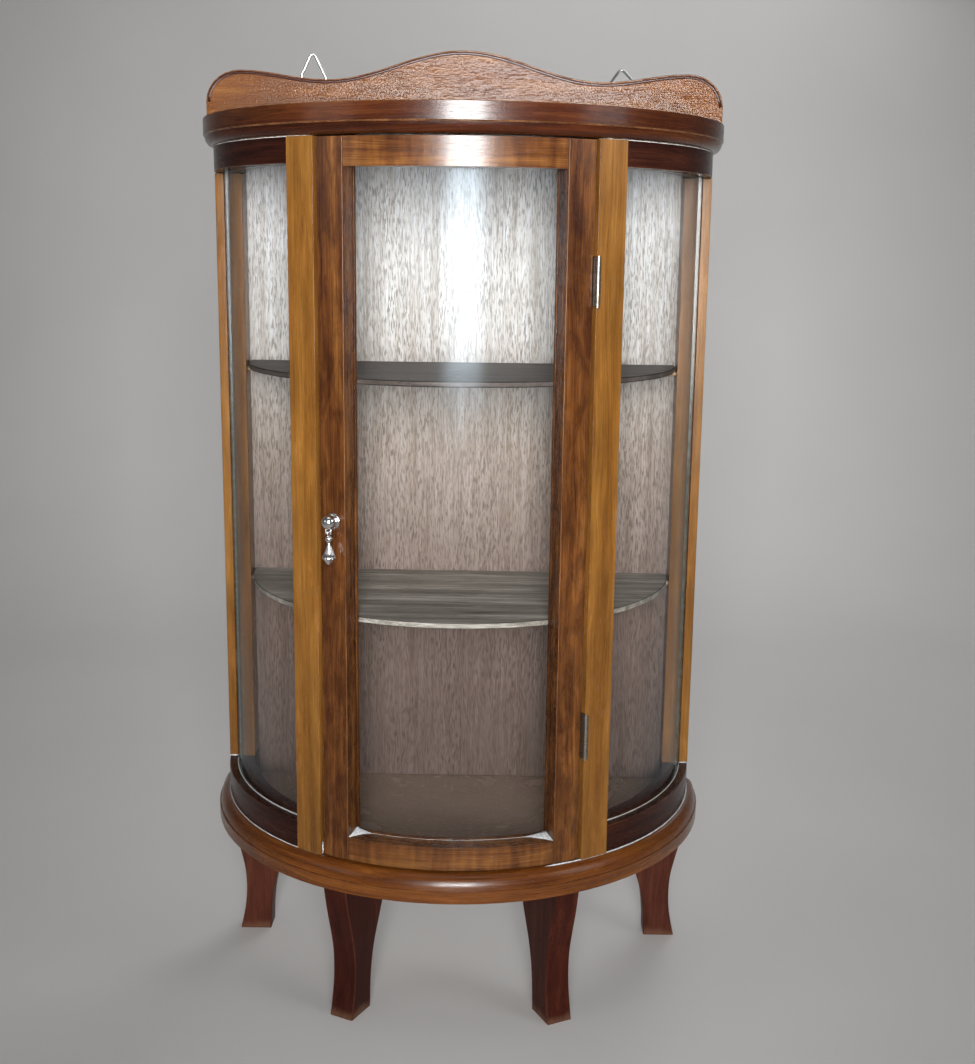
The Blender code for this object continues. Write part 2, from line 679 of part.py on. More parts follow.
def make_pull(stile):
    """A round knob on a disc, two cheeks and a cross pin under it, and a drop that hangs from the pin."""
    turn_out = (math.pi / 2, 0.0, PULL_ANGLE)
    across = (0.0, math.pi / 2, PULL_ANGLE)
    rose_profile = [(0.0, 0.0094), (0.0021, 0.0089), (0.0037, 0.0074), (0.0045, 0.0052),
                    (0.0040, 0.0032), (0.0027, 0.0018), (PULL_ROSE_RADIUS, 0.0010), (PULL_ROSE_RADIUS, GAP),
                    (PULL_STEM_RADIUS, GAP), (PULL_STEM_RADIUS, -PULL_STEM_LENGTH), (0.0, -PULL_STEM_LENGTH)]
    rose = turned("pull_rose", rose_profile, 20, "pull_metal")
    place(rose, DOOR_RADIUS, PULL_ANGLE, PULL_HEIGHT, turn_out)
    pivot = (DOOR_RADIUS + PULL_PIVOT_OUT, PULL_ANGLE, PULL_HEIGHT - PULL_PIVOT_DROP)
    for index, sign in enumerate((-1, 1)):
        cheek = box(f"pull_cheek_{index}", CHEEK_SIZE)
        shift_mesh(cheek, across=sign * CHEEK_OFFSET, height=CHEEK_RISE)
        place(cheek, *pivot, (0.0, 0.0, PULL_ANGLE))
        join(rose, cheek)
    cross = rod("pull_cross_pin", CROSS_PIN_RADIUS, 2 * CHEEK_OFFSET + CHEEK_SIZE[0] / 2, None, 12)
    place(cross, *pivot, across)
    join(rose, cross)
    shade_round(rose)

    drop_profile = [(0.0, -0.0014), (0.0012, -0.0016), (0.0020, -0.0022), (0.0023, -0.0034),
                    (0.0020, -0.0046), (0.0011, -0.0055), (0.0010, -0.0062), (0.0016, -0.0082),
                    (0.0027, -0.0110), (0.0038, -0.0135), (0.0043, -0.0144), (0.0043, -0.0152),
                    (0.0035, -0.0162), (0.0022, -0.0179), (0.0012, -0.0191), (0.0, -0.0198)]
    drop = turned("pull_drop", drop_profile, 20, "pull_metal")
    place(drop, *pivot)
    eye = wire_loop("pull_eye", circle_path(EYE_RADIUS, 16), EYE_WIRE)
    place(eye, *pivot, (0.0, 0.0, PULL_ANGLE + math.pi / 2))
    join(drop, eye)

    nut = rod("pull_nut", NUT_RADIUS, NUT_THICKNESS, "pull_metal", 6)
    place(nut, DOOR_INNER - 2 * GAP - NUT_THICKNESS / 2, PULL_ANGLE, PULL_HEIGHT, turn_out)
    hole = rod("pull_hole_cutter", PULL_STEM_RADIUS + GAP, 2 * PULL_STEM_LENGTH, None, 12)
    place(hole, DOOR_RADIUS - PULL_STEM_LENGTH / 2, PULL_ANGLE, PULL_HEIGHT, turn_out)
    cut(stile, hole)
    cut(nut, hole)
    return drop


def circle_path(radius, steps):
    """Points of a circle standing in the XZ plane."""
    turns = [2 * math.pi * i / steps for i in range(steps)]
    return [(radius * math.cos(turn), 0.0, radius * math.sin(turn)) for turn in turns]


def wire_loop(name, points, wire, finish=None):
    curve = bpy.data.curves.new(name, "CURVE")
    curve.dimensions = "3D"
    curve.bevel_depth = wire
    curve.bevel_resolution = 1
    spline = curve.splines.new("POLY")
    spline.points.add(len(points) - 1)
    for point, place_at in zip(spline.points, points):
        point.co = (*place_at, 1.0)
    spline.use_cyclic_u = True
    guide = bpy.data.objects.new(name + "_path", curve)
    CUTTERS.objects.link(guide)
    item = new_object(name, mesh_of_curve(guide), finish)
    shade_round(item, 50.0)
    return item


# ---------------------------------------------------------------- hanging rings

def ring_path():
    """Triangle with rounded corners: the bar on the X axis, the point up."""
    top = RING_LENGTH - RING_WIRE
    corners = [(-RING_HALF, 0.0), (RING_HALF, 0.0), (0.0, top + RING_CORNER)]
    path = []
    for index, corner in enumerate(corners):
        before = corners[index - 1]
        after = corners[(index + 1) % 3]
        unit_in = unit(before, corner)
        unit_out = unit(corner, after)
        half_turn = math.acos(unit_in[0] * unit_out[0] + unit_in[1] * unit_out[1]) / 2
        run = RING_CORNER * math.tan(half_turn)
        centre = (corner[0] - unit_in[0] * run - unit_in[1] * RING_CORNER,
                  corner[1] - unit_in[1] * run + unit_in[0] * RING_CORNER)
        start = math.atan2(corner[1] - unit_in[1] * run - centre[1],
                           corner[0] - unit_in[0] * run - centre[0])
        for i in range(6):
            angle = start + 2 * half_turn * i / 5
            across, up = RING_CORNER * math.cos(angle), RING_CORNER * math.sin(angle)
            path.append((centre[0] + across, 0.0, centre[1] + up))
    return path


def unit(start, end):
    dx, dy = end[0] - start[0], end[1] - start[1]
    length = math.hypot(dx, dy)
    return dx / length, dy / length


def make_hangers(gallery):
    for side, (x, lean) in HANGERS.items():
        axis = (x, BACK_Y + RING_AXIS_BEHIND, RING_HEIGHT)
        ring = wire_loop(f"hanging_ring_{side}", ring_path(), RING_WIRE, "steel_wire")
        ring.location = axis
        ring.rotation_euler = (-lean, 0.0, 0.0)

        strap = box(f"hanger_strap_{side}", (STRAP_WIDTH, STRAP_THICKNESS, STRAP_LENGTH), "steel_wire")
        strap.location = (x, BACK_Y + GAP + STRAP_THICKNESS / 2, RING_HEIGHT - STRAP_LENGTH / 2)
        barrel = rod(f"{strap.name}_barrel", STRAP_BARREL, STRAP_WIDTH)
        bore = rod(f"{strap.name}_bore_cutter", STRAP_BORE, STRAP_WIDTH * 1.2)
        for item in (barrel, bore):
            item.location = axis
            item.rotation_euler = (0.0, math.pi / 2, 0.0)
        join(strap, barrel)
        cut(strap, bore)
        shade_round(strap)

        screw_height = RING_HEIGHT - STRAP_SCREW_DROP
        under_head = GAP + STRAP_THICKNESS + GAP
        profile = [(0.0, 0.0014), (0.0014, 0.0013), (0.0023, 0.0008), (STRAP_SCREW_HEAD, 0.0),
                   (STRAP_SCREW_SHANK, 0.0), (STRAP_SCREW_SHANK, STRAP_SCREW_POINT - STRAP_SCREW_DEPTH),
                   (0.0, -STRAP_SCREW_DEPTH)]
        screw = turned(f"hanger_screw_{side}", profile, 16, "plated_steel")
        screw.location = (x, BACK_Y + under_head, screw_height)
        screw.rotation_euler = (-math.pi / 2, 0.0, 0.0)
        hole = rod(f"{screw.name}_hole_cutter", STRAP_SCREW_SHANK + GAP, 2 * STRAP_SCREW_DEPTH, None, 12)
        hole.location = (x, BACK_Y, screw_height)
        hole.rotation_euler = (math.pi / 2, 0.0, 0.0)
        cut(gallery, hole)
        cut(strap, hole)


# ---------------------------------------------------------------- build

clear_scene()
PARTS = new_collection("curio_cabinet")
CUTTERS = new_collection("curio_cabinet_cutters")
MATERIALS = {name: new_material(name, *values) for name, values in FINISHES.items()}


def hang_on_hinge(pieces):
    """Every piece of the door, and each cutter used on it, turns with an empty on the hinge line."""
    middle = sum(HINGE_CENTRES.values()) / len(HINGE_CENTRES)
    pivot = bpy.data.objects.new("door_pivot", None)
    PARTS.objects.link(pivot)
    place(pivot, HINGE_RADIUS, HINGE_ANGLE, middle)
    for item in pieces:
        item.parent = pivot
        item.matrix_parent_inverse = Matrix.Translation(pivot.location).inverted()


def main():
    base = make_boards()
    make_back_panel()
    make_side_rails()
    rear_posts = make_rear_posts()
    front_posts = make_front_posts()
    make_side_glass()
    make_shelves(rear_posts, front_posts)
    make_legs(base)
    make_hangers(make_gallery())
    make_magnet()

    fixed = set(bpy.data.objects)
    stiles = make_door_frame()
    make_door_glass()
    make_strike()
    make_pull(stiles["left"])
    make_hinge_leaves("door", -1, stiles["right"])
    hang_on_hinge([item for item in bpy.data.objects if item not in fixed and item.parent is None])
    make_hinge_leaves("post", 1, front_posts["right"])
    make_hinge_pins()


main()
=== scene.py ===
import json
import math

import bmesh
import bpy
from mathutils import Matrix, Vector, noise


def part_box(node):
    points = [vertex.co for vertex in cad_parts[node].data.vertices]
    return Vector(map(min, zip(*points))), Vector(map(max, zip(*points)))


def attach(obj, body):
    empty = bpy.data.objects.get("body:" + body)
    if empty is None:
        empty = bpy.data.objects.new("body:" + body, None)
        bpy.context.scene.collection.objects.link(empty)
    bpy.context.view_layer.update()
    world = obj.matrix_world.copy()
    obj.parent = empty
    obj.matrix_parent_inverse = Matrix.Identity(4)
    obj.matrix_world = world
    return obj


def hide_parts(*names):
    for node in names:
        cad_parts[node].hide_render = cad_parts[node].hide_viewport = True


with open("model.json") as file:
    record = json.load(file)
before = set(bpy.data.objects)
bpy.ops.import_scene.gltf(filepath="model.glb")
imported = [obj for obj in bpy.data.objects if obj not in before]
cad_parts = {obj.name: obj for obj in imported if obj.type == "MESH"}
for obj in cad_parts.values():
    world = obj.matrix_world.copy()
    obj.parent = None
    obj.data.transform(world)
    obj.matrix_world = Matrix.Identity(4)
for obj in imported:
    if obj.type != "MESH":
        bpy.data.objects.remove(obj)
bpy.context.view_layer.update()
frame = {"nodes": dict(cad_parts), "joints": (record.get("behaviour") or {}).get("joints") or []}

# Looks of the half-round curio cabinet. Metres, +X right, -Y front, +Z up. Angles are measured round
# the middle of the plan, which lies on the flat back, from the front and positive to the right.

NODES = frame["nodes"]
JOINTS = {joint["name"]: joint for joint in frame["joints"]}
BACK_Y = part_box("back_panel")[1].y
SIDES = {"left": -1, "right": 1}


# ---------------------------------------------------------------- measures of the frame

def polar(point):
    """Radius and angle of a point about the middle of the plan, and its height."""
    return math.hypot(point.x, point.y - BACK_Y), math.atan2(point.x, BACK_Y - point.y), point.z


def span(node):
    """(lowest, highest) radius, angle and height of a CAD node."""
    values = zip(*(polar(vertex.co) for vertex in NODES[node].data.vertices))
    return [(min(value), max(value)) for value in map(list, values)]


def at(radius, angle, height):
    return Vector((radius * math.sin(angle), BACK_Y - radius * math.cos(angle), height))


BODY_RADIUS = span("side_rail_top_right")[0][1]
BASE_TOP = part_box("base_board")[1].z
CORNICE_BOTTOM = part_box("cornice_board")[0].z
BOTTOM_RAIL_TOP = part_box("side_rail_bottom_right")[1].z
DOOR_RADIUS = span("door_stile_left")[0][1]
DOOR_HALF = span("door_stile_right")[1][1]
OPENING_HALF = span("door_stile_right")[1][0]
POST_START, POST_END = span("front_post_right")[1]

SIDE_END = 1.54             # angle at which the side's curved lines stop, short of the back's quarter turn
FRAME_WALL = 0.017          # from the body's round outside to where the open floor starts

WELD = 1e-5
FLAT_ANGLE = math.radians(0.4)
EDGE_ANGLE = math.radians(32.0)

PANE_ARRIS = 0.0003
PANE_STEPS = 64

RIM_RADIUS = 0.0017
RIM_STEP = 0.0016
RIM_FOOT = 0.0005
FACE_TOLERANCE = 0.0002

KNOB_RISE = 0.0067          # from the drop's pivot up to the knob's axis
# Turned profiles as (radius, distance along the axis).
KNOB_PROFILE = [(0.0, 0.0094), (0.0008, 0.0093), (0.0016, 0.0091), (0.0024, 0.0087), (0.0031, 0.0081),
                (0.0037, 0.0074), (0.0042, 0.0064), (0.0045, 0.0052), (0.0044, 0.0042), (0.0040, 0.0032),
                (0.0034, 0.0024), (0.0027, 0.0018), (0.0036, 0.0016), (0.0046, 0.0013), (0.0050, 0.0009),
                (0.0050, 0.0006), (0.0048, 0.0003), (0.0, 0.0003)]
DROP_PROFILE = [(0.0004, -0.0014), (0.0012, -0.0016), (0.0017, -0.0019), (0.0021, -0.0025),
                (0.0023, -0.0034), (0.0022, -0.0041), (0.0018, -0.0049), (0.0012, -0.0055),
                (0.0010, -0.0059), (0.0014, -0.0062), (0.0011, -0.0066), (0.0013, -0.0074),
                (0.0018, -0.0087), (0.0025, -0.0105), (0.0032, -0.0122), (0.0038, -0.0135),
                (0.0042, -0.0142), (0.0043, -0.0147), (0.0043, -0.0152), (0.0037, -0.0158),
                (0.0033, -0.0164), (0.0025, -0.0175), (0.0016, -0.0187), (0.0010, -0.0194),
                (0.0004, -0.0198)]
CHEEK_SIZE = (0.0009, 0.0044, 0.0018)
CHEEK_OFFSET = (0.00165, 0.0013)
CROSS_PIN_SIZE = (0.0042, 0.0007, 0.0007)
FLUTES = 10
FLUTE_DEPTH = 0.16          # as a part of the drop's radius
FLUTED = (-0.0136, -0.0074)
PEARLS = 16
PEARL_RADIUS = 0.00055
PEARL_RING = (0.0039, -0.01495)
EYE_RADIUS = 0.0014
EYE_WIRE = 0.0005
EYE_STEPS = 28

RING_WIRE = 0.0009
RING_BENDS = (0.0025, 0.0025, 0.0022)
RING_BEND_STEPS = 12
RING_SIDE_STEPS = 6
RING_LONG = 0.004           # a gap between points that is longer than this is a straight side

HANGER_HEAD_RISE = 0.0012
HANGER_THREAD = (0.0009, 0.0013)
HANGER_PITCH = 0.0005
HINGE_SCREW_RADIUS = 0.0019
HINGE_SCREW_OFFSET = 0.0095
BRAD_PROFILE = [(0.0, 0.0003), (0.0005, 0.00028), (0.0008, 0.0001), (0.0008, -0.0004), (0.0, -0.0004)]
BRAD_INSET = 0.0045
BRAD_CORNER = 0.012
BRAD_TOP_INSET = 0.006
POLE_OFFSET = 0.0026
POLE_THICKNESS = 0.0006
POLE_DEPTH = 0.0060
POLE_SINK = 0.0028

# Section of the putty wedges from the sill's front up to the pane, as parts of the depth and the height.
WEDGE_PROFILE = ((1.0, 0.0), (0.97, 0.18), (0.55, 0.50), (0.20, 0.88), (0.0, 1.0))
WEDGE_STEPS = 24


# ---------------------------------------------------------------- mesh helpers

def piece(name, work, body, material):
    """Makes the finished bmesh a piece that moves with a body."""
    bmesh.ops.recalc_face_normals(work, faces=work.faces)
    mesh = bpy.data.meshes.new(name)
    work.to_mesh(mesh)
    work.free()
    mesh.materials.append(material)
    mesh.shade_smooth()
    item = bpy.data.objects.new(name, mesh)
    bpy.context.scene.collection.objects.link(item)
    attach(item, body)
    return item


def loft(work, rings, closed=False, cap=True):
    """Skins rings of points that have the same count, and caps both ends with a face."""
    rows = [[work.verts.new(point) for point in ring] for ring in rings]
    pairs = list(zip(rows, rows[1:]))
    if closed:
        pairs.append((rows[-1], rows[0]))
    for low, high in pairs:
        count = len(low)
        for i in range(count):
            work.faces.new((low[i], low[(i + 1) % count], high[(i + 1) % count], high[i]))
    if cap and not closed:
        work.faces.new(rows[0])
        work.faces.new(reversed(rows[-1]))
    return rows


def turned(work, profile, steps, place=Matrix()):
    """A closed turned shape from (radius, height) pairs; both ends stand on the axis."""
    rings = [[place @ Vector((radius * math.cos(turn), radius * math.sin(turn), height))
              for turn in (math.tau * i / steps for i in range(steps))]
             for radius, height in profile[1:-1]]
    rows = loft(work, rings, cap=False)
    for row, (_, height), flip in ((rows[0], profile[0], 1), (rows[-1], profile[-1], -1)):
        tip = work.verts.new(place @ Vector((0.0, 0.0, height)))
        for i in range(steps):
            work.faces.new((tip, row[i], row[(i + 1) % steps])[::flip])


def tube(work, path, radii, sides=10, closed=False):
    """A round tube along a path of points, with a radius at each point."""
    rings = []
    up = Vector((0.0, 0.0, 1.0))
    for i, point in enumerate(path):
        before = path[i - 1] if i or closed else point
        after = path[(i + 1) % len(path)] if i < len(path) - 1 or closed else point
        ahead = (Vector(after) - Vector(before)).normalized()
        if abs(ahead.dot(up)) > 0.95:
            up = Vector((0.0, 1.0, 0.0))
        side = ahead.cross(up).normalized()
        rise = side.cross(ahead)
        rings.append([Vector(point) + radii[i] * (math.cos(turn) * side + math.sin(turn) * rise)
                      for turn in (math.tau * k / sides for k in range(sides))])
    loft(work, rings, closed=closed)


def slab(work, size, place, bevel=0.0):
    """A box with its edges rounded off."""
    made = bmesh.ops.create_cube(work, size=1.0, matrix=place @ Matrix.Diagonal((*size, 1.0)))
    if bevel:
        edges = list({edge for vertex in made["verts"] for edge in vertex.link_edges})
        bmesh.ops.bevel(work, geom=edges, offset=bevel, segments=2, affect="EDGES")


def facing(radius, angle, height):
    """Placement whose Z points outwards from the plan's middle and whose Y points up."""
    outwards = Vector((math.sin(angle), -math.cos(angle), 0.0))
    up = Vector((0.0, 0.0, 1.0))
    along = up.cross(outwards)
    turn = Matrix((along, up, outwards)).transposed().to_4x4()
    return Matrix.Translation(at(radius, angle, height)) @ turn


def backwards(x, y, z):
    """Placement whose Z points straight back, out of the cabinet's flat side."""
    return Matrix.Translation((x, y, z)) @ Matrix.Rotation(-math.pi / 2, 4, "X")


# ---------------------------------------------------------------- material helpers

class Tree:
    """The node tree of one material, with short calls for the nodes used here."""

    def __init__(self, name):
        self.material = bpy.data.materials.new(name)
        self.material.use_nodes = True
        self.nodes = self.material.node_tree.nodes
        self.links = self.material.node_tree.links
        self.shader = self.nodes["Principled BSDF"]

    def add(self, kind, inputs=(), output=0, **settings):
        made = self.nodes.new(kind)
        for key, value in settings.items():
            setattr(made, key, value)
        for key, value in dict(inputs).items():
            if isinstance(value, bpy.types.NodeSocket):
                self.links.new(value, made.inputs[key])
            else:
                made.inputs[key].default_value = value
        return made.outputs[output]

    def place(self):
        """Coordinates in the frame's own metres."""
        return self.add("ShaderNodeTexCoord", output=3)

    def split(self, vector):
        """The x, y and z of a vector."""
        parts = self.nodes.new("ShaderNodeSeparateXYZ")
        self.links.new(vector, parts.inputs[0])
        return parts.outputs

    def join(self, *axes):
        return self.add("ShaderNodeCombineXYZ", dict(enumerate(axes)))

    def length(self, vector):
        return self.add("ShaderNodeVectorMath", {0: vector}, output=1, operation="LENGTH")

    def warp(self, vector, shift, amount):
        """Moves a vector by another one times amount, so that straight grain wanders."""
        moved = self.add("ShaderNodeVectorMath", {0: shift, "Scale": amount}, operation="SCALE")
        return self.add("ShaderNodeVectorMath", {0: moved, 1: vector}, operation="ADD")

    def math(self, operation, first, second=0.0, third=0.0):
        return self.add("ShaderNodeMath", {0: first, 1: second, 2: third}, operation=operation)

    def noise(self, vector, scale, detail=2.0, roughness=0.5, distortion=0.0):
        return self.add("ShaderNodeTexNoise", {"Vector": vector, "Scale": scale, "Detail": detail,
                                               "Roughness": roughness, "Distortion": distortion})

    def ramp(self, value, *stops):
        made = self.nodes.new("ShaderNodeValToRGB")
        self.links.new(value, made.inputs["Fac"])
        elements = made.color_ramp.elements
        while len(elements) < len(stops):
            elements.new(0.5)
        for element, (position, colour) in zip(elements, stops):
            element.position = position
            element.color = (*colour, 1.0) if len(colour) == 3 else colour
        return made.outputs["Color"]

    def mask(self, value, low, high):
        """Black up to low, white from high on."""
        return self.ramp(value, (low, (0.0,) * 3), (high, (1.0,) * 3))

    def mix(self, factor, first, second, blend="MIX"):
        made = self.nodes.new("ShaderNodeMix")
        made.data_type = "RGBA"
        made.blend_type = blend
        for index, value in ((0, factor), (6, first), (7, second)):
            if isinstance(value, bpy.types.NodeSocket):
                self.links.new(value, made.inputs[index])
            elif index == 0:
                made.inputs[index].default_value = value
            else:
                made.inputs[index].default_value = (*value, 1.0)
        return made.outputs[2]

    def stretch(self, vector, scale):
        return self.add("ShaderNodeMapping", {"Vector": vector, "Scale": scale})

    def between(self, value, low, high):
        """Maps 0..1 to low..high."""
        return self.math("MULTIPLY_ADD", value, high - low, low)

    def bump(self, height, distance, strength):
        return self.add("ShaderNodeBump", {"Height": height, "Distance": distance, "Strength": strength})

    def set(self, **sockets):
        """Fills the shader's sockets, whose names are written with _ for each space."""
        for key, value in sockets.items():
            socket = self.shader.inputs[key.replace("_", " ")]
            if isinstance(value, bpy.types.NodeSocket):
                self.links.new(value, socket)
            elif isinstance(value, tuple):
                socket.default_value = (*value, 1.0)
            else:
                socket.default_value = value
        return self.material


GRAIN_SHIFTS = (1.7, 2.9, 5.3)      # how far a piece's own random number moves its grain on each axis
# Painted highlight on the legs' lowest part, where the flared foot catches light.
FOOT_HIGHLIGHT_TONE = (0.170, 0.085, 0.050)
PANEL_BACK = (0.62, 0.55, 0.48)
PANEL_MIDDLE = 0.0016               # half the panel's thickness; in front of it the panel carries its painted shade and glare


def grain_vector(tree, along):
    """Coordinates whose Z runs with the grain, shifted for each piece of wood."""
    x, y, z = tree.split(tree.place())
    if along == "round":
        forward = tree.math("SUBTRACT", BACK_Y, y)
        angle = tree.math("ARCTAN2", x, forward)
        axes = (tree.length(tree.join(x, forward)), z, tree.math("MULTIPLY", angle, BODY_RADIUS))
    elif along == "x":
        axes = (y, z, x)
    else:
        axes = (x, y, z)
    shift = tree.add("ShaderNodeObjectInfo", output=5)
    return tree.join(*(tree.math("MULTIPLY_ADD", shift, amount, axis)
                       for axis, amount in zip(axes, GRAIN_SHIFTS)))


def wood(name, along, dark, middle, light, contrast=1.0, pores=0.4, blotch=0.25, mottle=0.0, curl_and_sheen=0.0,
         roughness=0.26, coat=0.12, coat_roughness=0.16, specular=0.25, relief=1.0, wear=0.0, floor=None,
         foot_highlight=False):
    """Stained hardwood: faint rings, long fibres, short pores, blotchy stain and thin worn lacquer.

    floor is the pair of tones of a board's top within the case, a painted reflection of the pale back panel
    on its varnish; the foot setting paints a highlight on each leg's lowest part, where the flared foot
    catches light.
    """
    tree = Tree(name)
    place = grain_vector(tree, along)
    bend = tree.noise(tree.stretch(place, (28.0, 28.0, 7.0)), 1.0, 2.0)
    bent = tree.warp(place, tree.join(bend, bend), 0.010)
    rings = tree.noise(tree.stretch(bent, (420.0, 420.0, 9.0)), 1.0, 2.0, 0.5)
    fibres = tree.noise(tree.stretch(bent, (1500.0, 1500.0, 26.0)), 1.0, 3.0, 0.6)
    streaks = tree.noise(tree.stretch(bent, (120.0, 120.0, 5.0)), 1.0, 3.0, 0.6)
    tone = tree.math("MULTIPLY_ADD", rings, 0.16, tree.math("MULTIPLY", fibres, 0.36))
    tone = tree.math("MULTIPLY_ADD", streaks, 0.48, tone)
    # Curly figure across the grain, partly painted sheen: diagonal light and dark bands in the colour.
    if curl_and_sheen:
        across = tree.add("ShaderNodeMapping", {"Vector": place, "Rotation": (0.70, 0.0, 0.0),
                                                "Scale": (30.0, 26.0, 150.0)})
        curl_and_sheen_bands = tree.noise(across, 1.0, 2.0, 0.5)
        tone = tree.math("MULTIPLY_ADD", curl_and_sheen_bands, curl_and_sheen, tree.math("SUBTRACT", tone, 0.5 * curl_and_sheen))
    spread = 0.17 / contrast
    colour = tree.ramp(tone, (0.50 - spread, dark), (0.50, middle), (0.50 + spread, light))
    if mottle:
        cloud = tree.noise(tree.stretch(place, (130.0, 130.0, 45.0)), 1.0, 3.0, 0.6, 0.6)
        patches = tree.ramp(cloud, (0.38, (1.0,) * 3), (0.60, (0.0,) * 3))
        colour = tree.mix(tree.math("MULTIPLY", patches, mottle), colour, dark)
    stain = tree.noise(tree.stretch(place, (60.0, 60.0, 16.0)), 1.0, 3.0, 0.6)
    shade = tree.ramp(stain, (0.30, (1.0 - blotch,) * 3), (0.70, (1.0 + blotch * 0.6,) * 3))
    colour = tree.mix(1.0, colour, shade, "MULTIPLY")
    pore = tree.noise(tree.stretch(bent, (2300.0, 2300.0, 160.0)), 1.0, 1.0, 0.5)
    pore_mask = tree.mask(pore, 0.60, 0.70)
    colour = tree.mix(tree.math("MULTIPLY", pore_mask, pores), colour, tuple(c * 0.5 for c in dark))
    if wear:
        worn = tree.mask(tree.noise(place, 95.0, 4.0, 0.7), 0.55, 0.70)
        colour = tree.mix(tree.math("MULTIPLY", worn, wear), colour, tuple(min(1.0, c * 1.3) for c in light))
    # Painted reflection: greyer tones on the varnished top within the case, standing for the back panel
    # mirrored in it.
    if floor:
        x, y, z = tree.split(tree.place())
        radius = tree.length(tree.join(x, tree.math("SUBTRACT", BACK_Y, y)))
        inside = tree.math("MULTIPLY", tree.math("LESS_THAN", radius, BODY_RADIUS - FRAME_WALL),
                           tree.math("GREATER_THAN", z, BASE_TOP - 0.001))
        colour = tree.mix(inside, colour, tree.ramp(tone, (0.35, floor[0]), (0.62, floor[1])))
    # Painted highlight: the lowest part of the leg lightened, where the flared foot catches light.
    if foot_highlight:
        _, _, z = tree.split(tree.place())
        rough_height = tree.math("MULTIPLY_ADD", stain, 0.012, tree.math("MULTIPLY_ADD", fibres, 0.006, z))
        foot_highlight_mask = tree.ramp(rough_height, (0.0100, (0.75,) * 3), (0.0150, (0.0,) * 3))
        colour = tree.mix(foot_highlight_mask, colour, FOOT_HIGHLIGHT_TONE)
    peel = tree.noise(place, 900.0, 2.0, 0.5)
    height = tree.math("MULTIPLY_ADD", pore_mask, -0.6, tree.math("MULTIPLY_ADD", fibres, 0.4, peel))
    gloss = tree.math("MULTIPLY_ADD", pore_mask, 0.15,
                      tree.between(stain, roughness - 0.07, roughness + 0.07))
    return tree.set(Base_Color=colour, Roughness=gloss, Specular_IOR_Level=specular, Coat_Weight=coat,
                    Coat_Roughness=coat_roughness, Normal=tree.bump(height, 0.00010 * relief, 0.5))


def panel_wood(name):
    """Unfinished pale panel with short open dark flecks along the grain; its front carries painted shade that
    darkens and browns it towards the floor, and a faint bluish painted glare at the top.
    """
    tree = Tree(name)
    place = grain_vector(tree, "z")
    bend = tree.noise(tree.stretch(place, (20.0, 20.0, 5.0)), 1.0, 2.0)
    bent = tree.warp(place, tree.join(bend), 0.008)
    streaks = tree.noise(tree.stretch(bent, (210.0, 210.0, 6.0)), 1.0, 4.0, 0.65)
    fibres = tree.noise(tree.stretch(bent, (1300.0, 1300.0, 60.0)), 1.0, 3.0, 0.6)
    tone = tree.math("MULTIPLY_ADD", fibres, 0.5, tree.math("MULTIPLY", streaks, 0.5))
    colour = tree.ramp(tone, (0.36, (0.440, 0.390, 0.330)), (0.50, (0.660, 0.630, 0.580)),
                       (0.62, (0.800, 0.800, 0.780)))
    fleck = tree.noise(tree.stretch(bent, (1250.0, 1250.0, 170.0)), 1.0, 2.0, 0.55)
    fleck_mask = tree.mask(fleck, 0.505, 0.605)
    patch = tree.ramp(tree.noise(tree.stretch(place, (45.0, 45.0, 14.0)), 1.0, 3.0, 0.6),
                      (0.30, (0.45,) * 3), (0.70, (1.0,) * 3))
    colour = tree.mix(tree.math("MULTIPLY", fleck_mask, patch), colour, (0.300, 0.270, 0.235))
    # Painted light on the front face: shade falling off towards the floor, a faint bluish glare near the top.
    _, y, z = tree.split(tree.place())
    rise = tree.math("DIVIDE", tree.math("SUBTRACT", z, BASE_TOP), CORNICE_BOTTOM - BASE_TOP)
    painted_light_falloff = tree.ramp(rise, (0.0, (0.17, 0.125, 0.112)), (0.30, (0.225, 0.168, 0.150)),
                    (0.55, (0.43, 0.375, 0.345)), (0.75, (0.72, 0.735, 0.76)), (1.0, (0.85, 0.90, 0.98)))
    front = tree.math("LESS_THAN", y, BACK_Y - PANEL_MIDDLE)
    colour = tree.mix(1.0, colour, tree.mix(front, PANEL_BACK, painted_light_falloff), "MULTIPLY")
    height = tree.math("MULTIPLY_ADD", fleck_mask, -1.0, fibres)
    return tree.set(Base_Color=colour, Roughness=tree.between(fibres, 0.55, 0.80), Specular_IOR_Level=0.3,
                    Normal=tree.bump(height, 0.00020, 0.6))


def glass(name, tint, haze):
    """Clear pane: see-through, with a mirror layer that grows towards grazing angles, and some dust."""
    tree = Tree(name)
    place = tree.place()
    ripple = tree.noise(tree.stretch(place, (14.0, 14.0, 5.0)), 1.0, 1.0)
    normal = tree.bump(ripple, 0.0010, 0.25)
    away = tree.add("ShaderNodeLayerWeight", {"Blend": 0.5, "Normal": normal}, output=1)
    mirror = tree.math("MULTIPLY_ADD", tree.math("POWER", away, 4.0), 0.60, 0.0020)
    dust = tree.noise(place, 55.0, 5.0, 0.7)
    grime = tree.noise(place, 900.0, 2.0, 0.7)
    film = tree.math("MULTIPLY", tree.ramp(dust, (0.35, (0.45,) * 3), (0.75, (1.0,) * 3)),
                     tree.between(grime, 0.6, 1.4))
    alpha = tree.math("MULTIPLY_ADD", film, haze, mirror)
    colour = tree.mix(tree.math("POWER", away, 1.5), tint, (0.06, 0.12, 0.14))
    return tree.set(Base_Color=colour, Metallic=1.0, Roughness=tree.between(film, 0.10, 0.22), Alpha=alpha,
                    Normal=normal)


def glass_edge(name):
    tree = Tree(name)
    place = tree.place()
    chips = tree.noise(place, 260.0, 4.0, 0.7)
    colour = tree.ramp(chips, (0.35, (0.020, 0.045, 0.045)), (0.65, (0.120, 0.190, 0.180)))
    return tree.set(Base_Color=colour, Roughness=tree.between(chips, 0.08, 0.30),
                    Normal=tree.bump(chips, 0.0002, 0.5))


